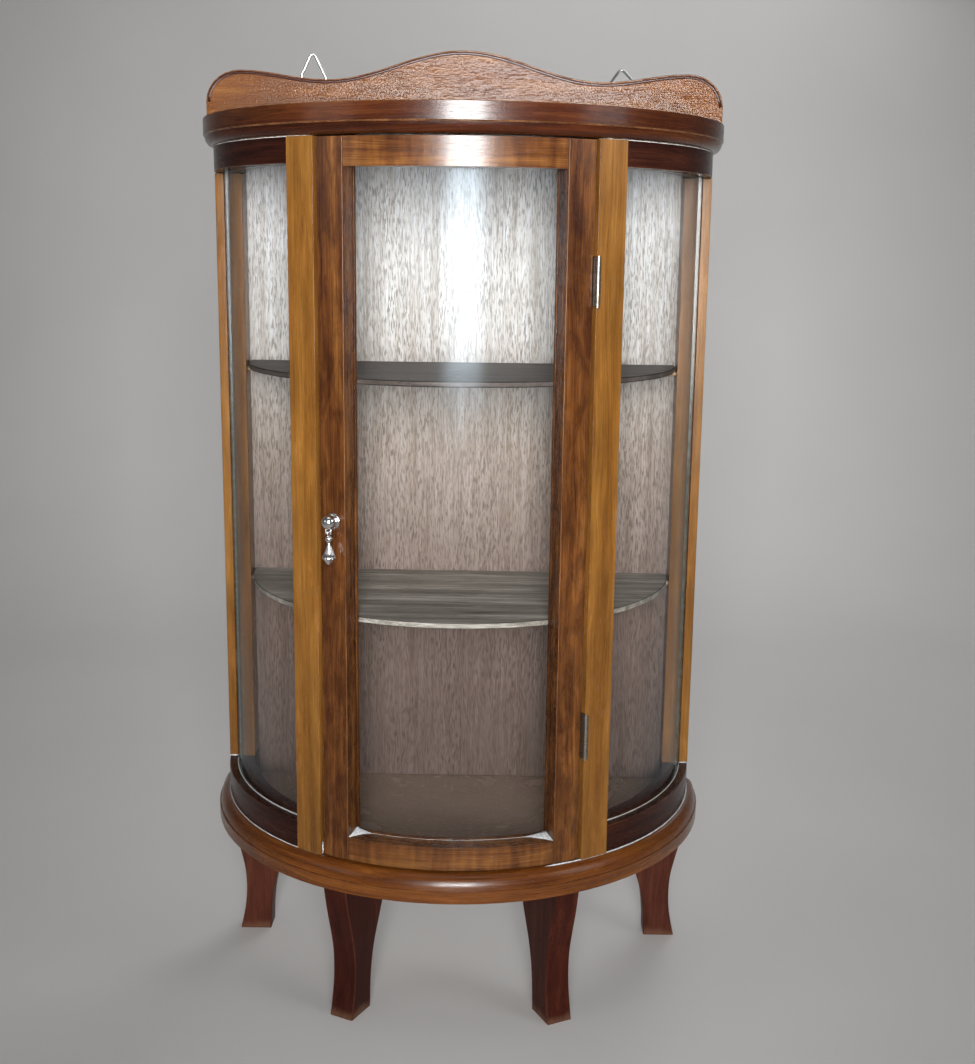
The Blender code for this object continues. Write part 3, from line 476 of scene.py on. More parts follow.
def metal(name, colour, roughness, tarnish, stain=(0.16, 0.13, 0.10)):
    """Plated metal with fine scratches and spots of tarnish."""
    tree = Tree(name)
    place = tree.place()
    cloud = tree.noise(place, 420.0, 4.0, 0.65)
    spots = tree.mask(cloud, 0.50, 0.68)
    scratches = tree.noise(tree.stretch(place, (5200.0, 5200.0, 700.0)), 1.0, 2.0, 0.6)
    shade = tree.mix(tree.math("MULTIPLY", spots, tarnish), colour, stain)
    gloss = tree.math("MULTIPLY_ADD", spots, 0.25 * tarnish + 0.04,
                      tree.between(scratches, roughness - 0.05, roughness + 0.07))
    return tree.set(Base_Color=shade, Metallic=1.0, Roughness=gloss,
                    Normal=tree.bump(scratches, 0.00003, 0.4))


def dull(name, dark, light, roughness, scale=600.0):
    """Glue, putty and magnet: mottled, matt or waxy."""
    tree = Tree(name)
    place = tree.place()
    cloud = tree.noise(place, scale, 4.0, 0.65)
    colour = tree.ramp(cloud, (0.35, dark), (0.62, light))
    return tree.set(Base_Color=colour, Roughness=tree.between(cloud, roughness - 0.1, roughness + 0.1),
                    Normal=tree.bump(cloud, 0.0002, 0.6))


# Dark, middle and light tones of each timber.
CASE = ((0.015, 0.0028, 0.0010), (0.058, 0.0125, 0.0030), (0.125, 0.0370, 0.0080))
BASE = ((0.038, 0.0080, 0.0016), (0.135, 0.0380, 0.0050), (0.250, 0.0920, 0.0140))
# Side rails: the case's wood darkened as painted shade, for faces turned side-on to the light.
RAIL_PAINTED_SHADE = ((0.008, 0.0020, 0.0014), (0.026, 0.0068, 0.0042), (0.060, 0.0180, 0.0090))
DOOR = ((0.023, 0.0052, 0.0020), (0.110, 0.0370, 0.0085), (0.230, 0.0960, 0.0230))
POST = ((0.110, 0.0380, 0.0060), (0.205, 0.0860, 0.0150), (0.300, 0.1420, 0.0300))
# Front legs: the rear legs' wood darkened as painted shade, for legs turned side-on to the light.
FRONT_LEGS_PAINTED_SHADE = ((0.016, 0.0030, 0.0015), (0.042, 0.0075, 0.0035), (0.085, 0.0210, 0.0090))
REAR_LEGS = ((0.030, 0.0080, 0.0045), (0.078, 0.0200, 0.0110), (0.130, 0.0420, 0.0210))
SHELF = ((0.100, 0.0880, 0.0720), (0.260, 0.2400, 0.2050), (0.560, 0.5300, 0.4800))
DARK_SHELF = ((0.030, 0.0230, 0.0190), (0.075, 0.0600, 0.0520), (0.130, 0.1120, 0.1000))
CREST = ((0.080, 0.0200, 0.0020), (0.170, 0.0530, 0.0045), (0.250, 0.1000, 0.0130))
DOWEL = ((0.330, 0.2000, 0.1000), (0.560, 0.3900, 0.2200), (0.700, 0.5400, 0.3600))
WORN = ((0.050, 0.0160, 0.0060), (0.150, 0.0600, 0.0210), (0.300, 0.1500, 0.0650))
# Gallery rim: painted shade on the rounded front arris.
RIM_SHADE_TONES = ((0.015, 0.0040, 0.0025), (0.040, 0.0100, 0.0050), (0.080, 0.0240, 0.0110))
LIP = ((0.012, 0.0100, 0.0090), (0.030, 0.0270, 0.0250), (0.075, 0.0720, 0.0700))

CASE_ROUND = wood("case_wood_round", "round", *CASE, blotch=0.30, mottle=0.25, coat=0.30, wear=0.08)
# Its floor tones are a painted reflection of the back panel on the board's top within the case.
BASE_ROUND = wood("case_wood_base", "round", *BASE, blotch=0.25, mottle=0.15, coat=0.35, coat_roughness=0.26,
                  floor=((0.215, 0.157, 0.118), (0.262, 0.194, 0.148)))
RAIL_ROUND_PAINTED_SHADE = wood("case_wood_rail_painted_shade", "round", *RAIL_PAINTED_SHADE, blotch=0.30, coat=0.06, specular=0.12, wear=0.05)
CREST_BOARD = wood("case_wood_crest", "x", *CREST, blotch=0.20, pores=0.30, relief=4.0, mottle=0.35,
                   roughness=0.22, coat=0.0, specular=0.22)
DOOR_UPRIGHT = wood("door_wood_upright", "z", *DOOR, blotch=0.30, mottle=0.60, wear=0.05)
# The door rails' diagonal bands are partly curly figure, partly a painted sheen.
DOOR_ROUND = wood("door_wood_round", "round", *DOOR, blotch=0.20, mottle=0.15, curl_and_sheen=0.50, contrast=0.85,
                  coat=0.30, wear=0.05)
POST_UPRIGHT = wood("post_wood_upright", "z", *POST, blotch=0.32, mottle=0.12, pores=0.35)
FRONT_LEG_PAINTED_SHADE = wood("leg_wood_front_painted_shade", "z", *FRONT_LEGS_PAINTED_SHADE, blotch=0.30, roughness=0.45, coat=0.0, specular=0.12,
                   wear=0.05, foot_highlight=True)
REAR_LEG_UPRIGHT = wood("leg_wood_rear", "z", *REAR_LEGS, blotch=0.30, roughness=0.45, coat=0.0,
                        specular=0.12, wear=0.05, foot_highlight=True)
SHELF_BOARD = wood("shelf_wood_board", "x", *SHELF, blotch=0.30, roughness=0.60, coat=0.0, contrast=1.2)
DARK_SHELF_BOARD = wood("shelf_wood_upper", "x", *DARK_SHELF, blotch=0.30, roughness=0.50, coat=0.0)
DOWEL_GRAIN = wood("dowel_wood_grain", "z", *DOWEL, blotch=0.15, roughness=0.60, coat=0.0)
WORN_EDGE = wood("worn_edge", "z", *WORN, blotch=0.40)
RIM_PAINTED_SHADE = wood("rim_painted_shade", "x", *RIM_SHADE_TONES, blotch=0.30)
# Leg arrises in the rear legs' lighter tones: on the front legs partly wear, partly painted highlight along
# the edge.
LEG_EDGE = wood("leg_edge", "z", *REAR_LEGS, blotch=0.35, roughness=0.42, coat=0.0, specular=0.12)
SHELF_LIP = wood("pale_edge", "x", *LIP, blotch=0.35, roughness=0.55, coat=0.0, specular=0.05)
PANEL = panel_wood("panel_wood_flecked")
GLASS = glass("clear_glass_pane", (0.72, 0.88, 1.0), 0.006)
GLASS_EDGE = glass_edge("clear_glass_edge")
CHROME = metal("pull_metal_chrome", (0.80, 0.80, 0.80), 0.14, 0.25)
STEEL = metal("plated_steel_worn", (0.62, 0.60, 0.56), 0.30, 0.55)
DULL_STEEL = metal("plated_steel_dull", (0.30, 0.27, 0.23), 0.34, 0.80, (0.07, 0.055, 0.04))
WIRE = metal("steel_wire_bright", (0.70, 0.72, 0.71), 0.28, 0.35)
MAGNET = dull("dark_magnet_ferrite", (0.020, 0.019, 0.018), (0.060, 0.056, 0.052), 0.55)
GLUE = dull("dried_glue", (0.520, 0.480, 0.430), (0.800, 0.780, 0.740), 0.45, 700.0)
PUTTY = dull("white_putty", (0.380, 0.390, 0.390), (0.680, 0.700, 0.710), 0.50, 700.0)


# ---------------------------------------------------------------- CAD nodes

def rounding_group():
    """Welds the faceted solid, drops its stored normals and shades it smooth, ready for Bevel."""
    group = bpy.data.node_groups.new("weld_and_smooth", "GeometryNodeTree")
    group.interface.new_socket("Geometry", in_out="INPUT", socket_type="NodeSocketGeometry")
    group.interface.new_socket("Geometry", in_out="OUTPUT", socket_type="NodeSocketGeometry")
    source = group.nodes.new("NodeGroupInput")
    drop = group.nodes.new("GeometryNodeRemoveAttribute")
    drop.inputs["Name"].default_value = "custom_normal"
    merge = group.nodes.new("GeometryNodeMergeByDistance")
    merge.inputs["Distance"].default_value = WELD
    smooth = group.nodes.new("GeometryNodeSetShadeSmooth")
    result = group.nodes.new("NodeGroupOutput")
    for first, second in zip((source, drop, merge, smooth), (drop, merge, smooth, result)):
        group.links.new(first.outputs[0], second.inputs[0])
    return group


ROUNDING = rounding_group()


def finish_node(name, material, edge=None, width=0.0005):
    """Gives a CAD node its looks: a grained material, and small rounded edges that may have their own."""
    item = NODES[name]
    item.data.materials.clear()
    item.data.materials.append(material)
    if edge:
        item.data.materials.append(edge)
    ready = item.modifiers.new("Ready", "NODES")
    ready.node_group = ROUNDING
    flat = item.modifiers.new("Flat", "DECIMATE")
    flat.decimate_type = "DISSOLVE"
    flat.angle_limit = FLAT_ANGLE
    bevel = item.modifiers.new("Edges", "BEVEL")
    bevel.limit_method = "ANGLE"
    bevel.angle_limit = EDGE_ANGLE
    bevel.width = width
    bevel.segments = 2
    bevel.use_clamp_overlap = True
    if edge:
        bevel.material = 1
    item.modifiers.new("Shading", "WEIGHTED_NORMAL").keep_sharp = False


def finish_case():
    finish_node("base_board", BASE_ROUND, WORN_EDGE)
    finish_node("cornice_board", CASE_ROUND, WORN_EDGE)
    finish_node("gallery", CREST_BOARD, RIM_PAINTED_SHADE, 0.0004)
    finish_node("back_panel", PANEL, None, 0.0003)
    for side in SIDES:
        for level in ("bottom", "top"):
            finish_node(f"side_rail_{level}_{side}", RAIL_ROUND_PAINTED_SHADE, CASE_ROUND, 0.0004)
        for row, leg in (("front", FRONT_LEG_PAINTED_SHADE), ("rear", REAR_LEG_UPRIGHT)):
            finish_node(f"{row}_post_{side}", POST_UPRIGHT, WORN_EDGE)
            finish_node(f"leg_{row}_{side}", leg, LEG_EDGE, 0.0007)
            finish_node(f"leg_dowel_{row}_{side}", DOWEL_GRAIN, None, 0.0004)
            for level in ("upper", "lower"):
                finish_node(f"shelf_pin_{level}_{row}_{side}", DOWEL_GRAIN, None, 0.0003)
    finish_node("upper_shelf", DARK_SHELF_BOARD, SHELF_LIP, 0.0006)
    finish_node("lower_shelf", SHELF_BOARD, SHELF_LIP, 0.0003)


def finish_door():
    for side in SIDES:
        finish_node(f"door_stile_{side}", DOOR_UPRIGHT, WORN_EDGE, 0.0004)
        finish_node(f"glass_bead_{side}", DOOR_UPRIGHT, None, 0.0003)
    for level in ("bottom", "top"):
        finish_node(f"door_rail_{level}", DOOR_ROUND, WORN_EDGE, 0.0004)
        finish_node(f"glass_bead_{level}", DOOR_ROUND, None, 0.0003)


def finish_metal():
    for level in ("upper", "lower"):
        for owner in ("post", "door"):
            finish_node(f"hinge_{level}_{owner}_leaf", DULL_STEEL, None, 0.00012)
    finish_node("magnet_catch", MAGNET, None, 0.0004)
    for name in ("hinge_upper_pin", "hinge_lower_pin", "strike_plate", "pull_nut", "hanger_strap_left",
                 "hanger_strap_right"):
        finish_node(name, STEEL, None, 0.0002)


# ---------------------------------------------------------------- panes

def make_pane(node, body):
    """A bent pane with fine facets, and ground edges that show dark green."""
    (inner, outer), (start, end), (bottom, top) = span(node)
    work = bmesh.new()
    arris = PANE_ARRIS
    rings = []
    for i in range(PANE_STEPS + 1):
        angle = start + (end - start) * i / PANE_STEPS
        rings.append([at(inner, angle, bottom + arris), at(inner + arris, angle, bottom),
                      at(outer - arris, angle, bottom), at(outer, angle, bottom + arris),
                      at(outer, angle, top - arris), at(outer - arris, angle, top),
                      at(inner + arris, angle, top), at(inner, angle, top - arris)])
    loft(work, rings)
    pane = piece(f"{node}_bent", work, body, GLASS)
    pane.data.materials.append(GLASS_EDGE)
    for face in pane.data.polygons:
        outwards = Vector((face.center.x, face.center.y - BACK_Y, 0.0)).normalized()
        if abs(face.normal.dot(outwards)) < 0.9:
            face.material_index = 1
            face.use_smooth = False
    pane.data.set_sharp_from_angle(angle=math.radians(30.0))
    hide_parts(node)


def make_gallery_rim():
    """Rounded rim along the front arris of the crest board, coloured dark as painted shade on the roundover.
    """
    low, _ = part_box("gallery")
    front = [vertex.co for vertex in NODES["gallery"].data.vertices
             if vertex.co.y < low.y + FACE_TOLERANCE and vertex.co.z > low.z + RIM_FOOT]
    front.sort(key=lambda point: math.atan2(point.z - low.z, point.x))
    points = []
    for point in front:
        if not points or (point - points[-1]).length > RIM_STEP:
            points.append(point)
    radius = RIM_RADIUS
    forwards = Vector((0.0, -1.0, 0.0))
    work = bmesh.new()
    rings = []
    for i, point in enumerate(points):
        ahead = points[min(i + 1, len(points) - 1)] - points[max(i - 1, 0)]
        outwards = Vector((ahead.z, 0.0, -ahead.x)).normalized()
        centre = Vector((point.x, low.y + radius * 0.80, point.z)) - outwards * radius * 0.97
        rings.append([centre + radius * (math.cos(turn) * outwards + math.sin(turn) * forwards)
                      for turn in (math.tau * k / 12 for k in range(12))])
    loft(work, rings)
    piece("gallery_rim", work, "case", RIM_PAINTED_SHADE)


# ---------------------------------------------------------------- pull

def make_rose(across, out):
    """Turned knob on a rimmed rose, with two cheeks and the pin that the drop hangs on."""
    work = bmesh.new()
    turned(work, KNOB_PROFILE, 40, out)
    for sign in (-1, 1):
        place = across @ Matrix.Translation((sign * CHEEK_OFFSET[0], CHEEK_OFFSET[1], 0.0))
        slab(work, CHEEK_SIZE, place, 0.0003)
    slab(work, CROSS_PIN_SIZE, across, 0.0003)
    rose = piece("pull_rose_turned", work, "door", CHROME)
    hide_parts("pull_rose")


def make_drop(across):
    """Turned drop with a fluted skirt, a row of pearls round its rim and an eye on top."""
    work = bmesh.new()
    turns = [math.tau * i / (FLUTES * 6) for i in range(FLUTES * 6)]
    rings = []
    for distance, level in DROP_PROFILE:
        cut = FLUTE_DEPTH if FLUTED[0] <= level <= FLUTED[1] else 0.0
        reaches = [distance * (1.0 - cut * abs(math.sin(FLUTES * turn / 2))) for turn in turns]
        rings.append([across @ Vector((reach * math.cos(turn), level, reach * math.sin(turn)))
                      for turn, reach in zip(turns, reaches)])
    loft(work, rings)
    reach, level = PEARL_RING
    for i in range(PEARLS):
        turn = math.tau * i / PEARLS
        place = across @ Matrix.Translation((reach * math.cos(turn), level, reach * math.sin(turn)))
        bmesh.ops.create_icosphere(work, subdivisions=2, radius=PEARL_RADIUS, matrix=place)
    eye = [across @ Vector((0.0, EYE_RADIUS * math.sin(turn), EYE_RADIUS * math.cos(turn)))
           for turn in (math.tau * i / EYE_STEPS for i in range(EYE_STEPS))]
    tube(work, eye, [EYE_WIRE] * EYE_STEPS, 10, closed=True)
    drop = piece("pull_drop_fluted", work, "drop", CHROME)
    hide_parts("pull_drop")


def make_pull():
    pivot = Vector(JOINTS["drop_swing"]["pos_m"])
    _, angle, height = polar(pivot)
    across = facing(*polar(pivot))
    make_rose(across, facing(DOOR_RADIUS, angle, height + KNOB_RISE))
    make_drop(across)


# ---------------------------------------------------------------- rings and hangers

def make_ring(side):
    """A triangle of round wire whose ends butt together in the strap's barrel."""
    pivot = Vector(JOINTS[f"{side}_ring_fold"]["pos_m"])
    low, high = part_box(f"hanging_ring_{side}")
    wire = RING_WIRE
    half = (high.x - low.x) / 2 - wire
    vertices = NODES[f"hanging_ring_{side}"].data.vertices
    reach = max((vertex.co - pivot).yz.length for vertex in vertices) - wire
    lean = math.atan2(high.y - wire - pivot.y, high.z - wire - pivot.z)
    up = Vector((0.0, math.sin(lean), math.cos(lean)))
    right = Vector((1.0, 0.0, 0.0))
    corners = [Vector((-half, 0.0)), Vector((half, 0.0)), Vector((0.0, reach))]
    path = []
    for index, corner in enumerate(corners):
        before = (corners[index - 1] - corner).normalized()
        after = (corners[(index + 1) % 3] - corner).normalized()
        opening = before.angle(after)
        radius = RING_BENDS[index]
        centre = corner + (before + after).normalized() * (radius / math.sin(opening / 2))
        start = corner + before * (radius / math.tan(opening / 2)) - centre
        turn_by = math.pi - opening
        for i in range(RING_BEND_STEPS + 1):
            turn = turn_by * i / RING_BEND_STEPS
            x, y = start
            path.append(centre + Vector((x * math.cos(turn) - y * math.sin(turn),
                                         x * math.sin(turn) + y * math.cos(turn))))
    points = []
    for first, second in zip(path, path[1:] + path[:1]):
        points.append(first)
        if (second - first).length > RING_LONG:
            points += [first.lerp(second, k / RING_SIDE_STEPS) for k in range(1, RING_SIDE_STEPS)]
    stretch = 2.0 - max(point.y for point in path) / reach      # makes up for what the top bend cuts off
    placed = [pivot + right * p.x + up * (p.y * stretch if p.y > 0 else p.y) for p in points]
    uneven = [wire * (1.0 + 0.03 * noise.noise(point * 260.0)) for point in placed]
    work = bmesh.new()
    tube(work, placed, uneven, 14, closed=True)
    ring = piece(f"hanging_ring_{side}_wire", work, f"{side}_ring", WIRE)
    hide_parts(f"hanging_ring_{side}")


def screw_head(name, place, radius, body, rise, cross=False):
    """A screw head with a slot or a cross cut into it, facing along Z of its place."""
    profile = [(0.0, rise), (radius * 0.35, rise * 0.94), (radius * 0.68, rise * 0.70),
               (radius * 0.92, rise * 0.30), (radius, 0.0), (radius * 0.9, -rise * 0.35), (0.0, -rise * 0.35)]
    work = bmesh.new()
    turned(work, profile, 24, place)
    head = piece(name, work, body, STEEL)
    cutter = bmesh.new()
    turns, length = ((0.0, math.pi / 2), 1.25) if cross else ((0.0,), 2.4)
    for turn in turns:
        slab(cutter, (radius * length, radius * 0.20, rise * 1.1),
             place @ Matrix.Rotation(turn + 0.5, 4, "Z") @ Matrix.Translation((0.0, 0.0, rise)))
    mesh = bpy.data.meshes.new(f"{name}_cutter")
    cutter.to_mesh(mesh)
    cutter.free()
    blade = bpy.data.objects.new(f"{name}_cutter", mesh)
    bpy.context.scene.collection.objects.link(blade)
    carve = head.modifiers.new("Slot", "BOOLEAN")
    carve.object = blade
    carve.solver = "EXACT"
    carve.use_self = True
    bpy.context.view_layer.update()
    carved = bpy.data.meshes.new_from_object(head.evaluated_get(bpy.context.evaluated_depsgraph_get()))
    head.modifiers.clear()
    head.data = carved
    head.data.set_sharp_from_angle(angle=math.radians(35.0))
    bpy.data.objects.remove(blade)
    return head


def make_hangers():
    for side in SIDES:
        make_ring(side)
        low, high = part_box(f"hanger_screw_{side}")
        centre = low.lerp(high, 0.5)
        rise = HANGER_HEAD_RISE
        head = screw_head(f"hanger_screw_{side}_head", backwards(centre.x, high.y - rise, centre.z),
                          (high.z - low.z) / 2, "case", rise, cross=True)
        thread = [(HANGER_THREAD[k % 2], low.y + 0.0012 + HANGER_PITCH * k) for k in range(12)]
        shank = bmesh.new()
        shank.from_mesh(head.data)
        turned(shank, [(0.0, low.y + 0.0004), *thread, (0.0, high.y - rise)], 16,
               backwards(centre.x, 0.0, centre.z))
        shank.to_mesh(head.data)
        shank.free()
        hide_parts(f"hanger_screw_{side}")


# ---------------------------------------------------------------- small hardware

def make_hinge_screws():
    """Two slotted screws in each leaf, seen when the door stands open."""
    up = Vector((0.0, 0.0, 1.0))
    for level in ("upper", "lower"):
        bottom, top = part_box(f"hinge_{level}_pin")
        middle = (bottom.z + top.z) / 2
        for owner, body, sign in (("post", "case", -1), ("door", "door", 1)):
            vertices = NODES[f"hinge_{level}_{owner}_leaf"].data.vertices
            leaf = [vertex.co for vertex in vertices if polar(vertex.co)[0] < BODY_RADIUS]
            centre = sum(leaf, Vector()) / len(leaf)
            _, angle, _ = polar(centre)
            inwards = Vector((-math.sin(angle), math.cos(angle), 0.0))
            out = sign * Vector((math.cos(angle), math.sin(angle), 0.0))
            basis = Matrix((up.cross(out), up, out)).transposed().to_4x4()
            near = max((point - centre).dot(out) for point in leaf)
            for number, offset in enumerate((-HINGE_SCREW_OFFSET, HINGE_SCREW_OFFSET), 1):
                spot = centre + out * near + up * (middle + offset - centre.z) + inwards * 0.0005
                screw_head(f"hinge_{level}_{owner}_screw_{number}", Matrix.Translation(spot) @ basis,
                           HINGE_SCREW_RADIUS, body, HINGE_SCREW_RADIUS * 0.08)


def make_brads():
    """Small nail heads round the edge of the back panel."""
    low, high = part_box("back_panel")
    spots = []
    first, last = low.z + BRAD_INSET + BRAD_CORNER, high.z - BRAD_INSET - BRAD_CORNER
    for i in range(7):
        height = first + (last - first) * i / 6
        spots += [(low.x + BRAD_INSET, height), (high.x - BRAD_INSET, height)]
    for i in range(1, 5):
        across = low.x + (high.x - low.x) * i / 5
        spots += [(across, low.z + BRAD_TOP_INSET), (across, high.z - BRAD_TOP_INSET)]
    work = bmesh.new()
    for x, z in spots:
        turned(work, BRAD_PROFILE, 12, backwards(x, high.y - 0.0001, z))
    piece("back_panel_brads", work, "case", STEEL)


def make_catch_poles():
    """Steel pole plates on both sides of the magnet."""
    low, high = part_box("magnet_catch")
    (_, radius), _, _ = span("magnet_catch")
    _, angle, _ = polar(low.lerp(high, 0.5))
    place = facing(radius, angle, (low.z + high.z) / 2)
    work = bmesh.new()
    for sign in (-1, 1):
        slab(work, (POLE_THICKNESS, (high.z - low.z) * 0.9, POLE_DEPTH),
             place @ Matrix.Translation((sign * POLE_OFFSET, 0.0, -POLE_SINK)), 0.0001)
    piece("magnet_catch_poles", work, "case", STEEL)


# ---------------------------------------------------------------- glue and putty

def bead(name, body, points, width, seed, material, gaps=0.0):
    """An uneven run of squeezed-out glue along points, thinner and thicker as it goes."""
    radii = []
    for i, point in enumerate(points):
        swell = 0.5 + 0.5 * noise.noise(Vector((i * 0.31, seed, 0.0)))
        fine = 0.5 + 0.5 * noise.noise(Vector((i * 1.3, seed, 5.0)))
        fade = min(1.0, i / 4, (len(points) - 1 - i) / 4)
        radii.append(width * max(0.06, (0.55 + 0.45 * swell) * (0.75 + 0.25 * fine) - gaps) * max(0.05, fade))
    work = bmesh.new()
    tube(work, points, radii, 8)
    piece(name, work, body, material)


def arc_points(radius, start, end, height, step=0.0015):
    count = max(4, int(abs(end - start) * radius / step))
    return [at(radius, start + (end - start) * i / count, height) for i in range(count + 1)]


def make_glue_lines():
    """Lines of glue and putty where the boards, posts, rails and panes of the case meet."""
    body = BODY_RADIUS + 0.0001
    pane = span("side_glass_right")[0][1]
    post_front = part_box("rear_post_right")[0].y
    for side, base_start, base_width, pane_width, pane_glue in (
            ("left", POST_START - 0.01, 0.00048, 0.0006, PUTTY),
            ("right", math.radians(21.0), 0.0007, 0.0004, GLUE)):
        sign = SIDES[side]
        bead(f"glue_base_{side}", "case",
             arc_points(body, sign * base_start, sign * SIDE_END, BASE_TOP + 0.0004),
             base_width, 3.0 + sign, PUTTY)
        bead(f"glue_cornice_{side}", "case",
             arc_points(body, sign * POST_START, sign * SIDE_END, CORNICE_BOTTOM - 0.0003),
             0.0004, 13.0 + sign, GLUE, 0.10)
        rear = math.acos((BACK_Y - post_front) / pane)
        bead(f"glue_pane_{side}", "case",
             arc_points(pane + 0.0006, sign * (POST_END + 0.003), sign * rear, BOTTOM_RAIL_TOP + 0.0004),
             pane_width, 33.0 + sign, pane_glue)
        low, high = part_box(f"rear_post_{side}")
        run = (high.x - low.x) * 0.38
        bead(f"glue_rear_post_{side}", "case",
             [Vector((sign * (pane - 0.001 + run * i / 12), post_front - 0.0004, low.z + 0.0006))
              for i in range(13)], 0.0009, 43.0 + sign, PUTTY)
    gap = -(DOOR_HALF + POST_START) / 2 - 0.0022
    bead("glue_left_post_gap", "case",
         [at(BODY_RADIUS - 0.0006 + 0.0002 * math.sin(i), gap, BASE_TOP + 0.0006 + 0.0007 * i)
          for i in range(14)], 0.0007, 31.0, PUTTY)


def wedge(name, side, length, height, seed):
    """Putty pressed into a lower corner of the door's opening, thinning out along the sill."""
    seat = span("door_glass")[0][1] + 0.0003
    sill = span("door_rail_bottom")[2][1]
    front = DOOR_RADIUS - 0.0006
    rings = []
    for i in range(WEDGE_STEPS + 1):
        along = i / WEDGE_STEPS
        fade = 1.0 - along
        rough = 1.0 + 0.25 * noise.noise(Vector((along * 6.0, seed, 0.0)))
        reach = seat + 0.0004 + (front - seat - 0.0004) * fade ** 1.6 * rough ** 0.3
        depth = min(reach, front) - seat
        top = 0.0002 + height * fade ** 1.3 * rough
        angle = side * (OPENING_HALF - 0.0012 - along * length / seat)
        rings.append([at(seat, angle, sill)] + [at(seat + depth * out, angle, sill + top * rise)
                                                for out, rise in WEDGE_PROFILE])
    work = bmesh.new()
    loft(work, rings)
    piece(name, work, "door", PUTTY)


def make_putty():
    """Wedges in the lower corners of the door's opening and a thin run at the foot of the pane."""
    seat = span("door_glass")[0][1] + 0.0006
    sill = span("door_rail_bottom")[2][1]
    half = OPENING_HALF - 0.01
    wedge("putty_left", -1, 0.0100, 0.0028, 1.0)
    wedge("putty_right", 1, 0.0150, 0.0022, 4.0)
    bead("putty_sill", "door", arc_points(seat, -half, half, sill + 0.0002), 0.0003, 41.0, GLUE, 0.35)


# ---------------------------------------------------------------- stage, lights and camera

FLOOR_HALF = 3.0
FLOOR_FRONT = -2.6
FLOOR_BEND = 0.7
BACKDROP_Y = 1.5
BACKDROP_TOP = 2.6

WHITE = (1.0, 1.0, 1.0)
AMBIENT = 0.10
# Name, position, target, width, height, watts, colour and spread in degrees.
LIGHTS = (
    ("key", (0.05, -1.15, 0.62), (0.0, 0.0, 0.54), 0.34, 0.60, 3.8, WHITE, 62.0),
    ("low", (0.0, -1.2, 0.32), (0.0, -0.1, 0.10), 0.30, 0.10, 0.16, WHITE, 36.0),
    ("fill_left", (-1.3, -0.9, 0.8), (0.0, 0.0, 0.3), 0.6, 0.6, 1.2, (1.0, 0.97, 0.93), 180.0),
    ("fill_right", (1.24, -0.66, 0.95), (0.0, 0.0, 0.45), 0.5, 0.7, 3.0, (0.97, 0.99, 1.0), 180.0),
    ("top", (0.0, -0.2, 1.9), (0.0, 0.0, 0.3), 0.9, 0.9, 2.5, WHITE, 180.0),
    ("back", (0.5, 1.25, 1.35), (0.0, 0.0, 0.3), 0.8, 0.8, 5.0, WHITE, 180.0),
)

CAMERA_PLACE = (0.03084, -0.88133, 0.49364)
CAMERA_YAW = -0.0126
CAMERA_PITCH = 0.2025
CAMERA_ROLL = 0.0121
CAMERA_LENS = 46.77
CAMERA_SENSOR = 36.0


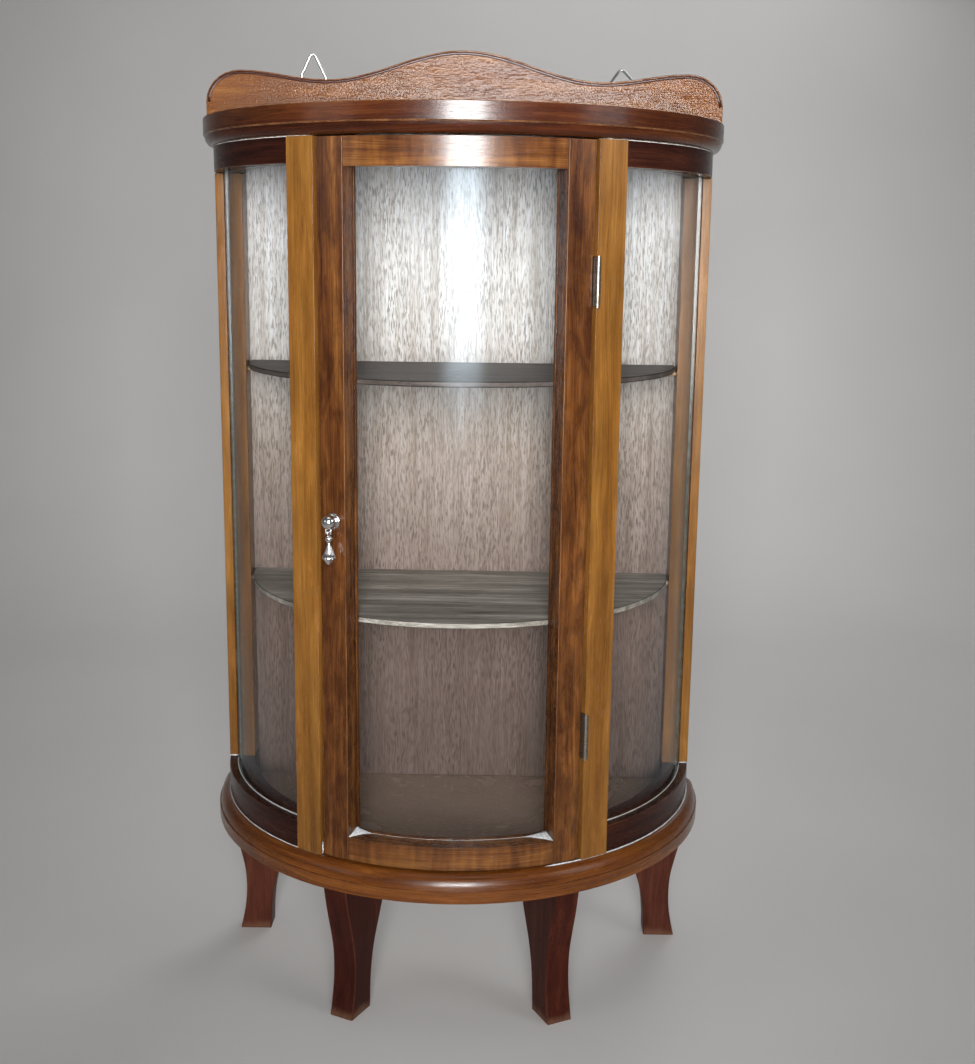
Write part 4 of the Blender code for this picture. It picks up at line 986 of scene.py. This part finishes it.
def make_stage():
    """A pale floor that curves up into a pale backdrop."""
    work = bmesh.new()
    bend = FLOOR_BEND
    profile = [(FLOOR_FRONT, 0.0), (BACKDROP_Y - bend, 0.0)]
    profile += [(BACKDROP_Y - bend + bend * math.sin(turn), bend - bend * math.cos(turn))
                for turn in (math.pi / 2 * i / 16 for i in range(1, 17))]
    profile += [(BACKDROP_Y, BACKDROP_TOP)]
    rows = [[work.verts.new((x, y, z)) for y, z in profile] for x in (-FLOOR_HALF, FLOOR_HALF)]
    for i in range(len(profile) - 1):
        work.faces.new((rows[0][i], rows[0][i + 1], rows[1][i + 1], rows[1][i]))
    mesh = bpy.data.meshes.new("floor")
    work.to_mesh(mesh)
    work.free()
    mesh.shade_smooth()
    tree = Tree("pale_floor")
    cloud = tree.noise(tree.place(), 3.0, 3.0, 0.5)
    colour = tree.ramp(cloud, (0.3, (0.66, 0.65, 0.64)), (0.7, (0.70, 0.69, 0.68)))
    mesh.materials.append(tree.set(Base_Color=colour, Roughness=0.8))
    floor = bpy.data.objects.new("floor", mesh)
    bpy.context.scene.collection.objects.link(floor)


def area_light(name, position, target, width, height, power, colour, spread):
    light = bpy.data.lights.new(name, "AREA")
    light.shape = "RECTANGLE"
    light.size = width
    light.size_y = height
    light.energy = power
    light.color = colour
    light.spread = math.radians(spread)
    item = bpy.data.objects.new(name, light)
    item.location = position
    item.rotation_euler = (Vector(target) - Vector(position)).to_track_quat("-Z", "Y").to_euler()
    bpy.context.scene.collection.objects.link(item)


def make_lights():
    for light in LIGHTS:
        area_light(*light)
    world = bpy.data.worlds.new("studio")
    world.use_nodes = True
    background = world.node_tree.nodes["Background"]
    background.inputs["Color"].default_value = (*WHITE, 1.0)
    background.inputs["Strength"].default_value = AMBIENT
    bpy.context.scene.world = world


def make_camera():
    data = bpy.data.cameras.new("camera")
    data.lens = CAMERA_LENS
    data.sensor_width = CAMERA_SENSOR
    data.clip_start = 0.01
    level = math.cos(CAMERA_PITCH)
    forward = Vector((math.sin(CAMERA_YAW) * level, math.cos(CAMERA_YAW) * level, -math.sin(CAMERA_PITCH)))
    right = Vector((math.cos(CAMERA_YAW), -math.sin(CAMERA_YAW), 0.0))
    up = right.cross(forward)
    rolled_right = right * math.cos(CAMERA_ROLL) + up * math.sin(CAMERA_ROLL)
    rolled_up = up * math.cos(CAMERA_ROLL) - right * math.sin(CAMERA_ROLL)
    camera = bpy.data.objects.new("camera", data)
    camera.matrix_world = (Matrix.Translation(CAMERA_PLACE)
                           @ Matrix((rolled_right, rolled_up, -forward)).transposed().to_4x4())
    bpy.context.scene.collection.objects.link(camera)
    bpy.context.scene.camera = camera


make_camera()
make_lights()
make_stage()
bpy.context.scene.view_settings.view_transform = "Standard"
finish_case()
finish_door()
finish_metal()
make_pane("door_glass", "door")
for side_name in SIDES:
    make_pane(f"side_glass_{side_name}", "case")
make_gallery_rim()
make_pull()
make_hangers()
make_hinge_screws()
make_brads()
make_catch_poles()
make_glue_lines()
make_putty()
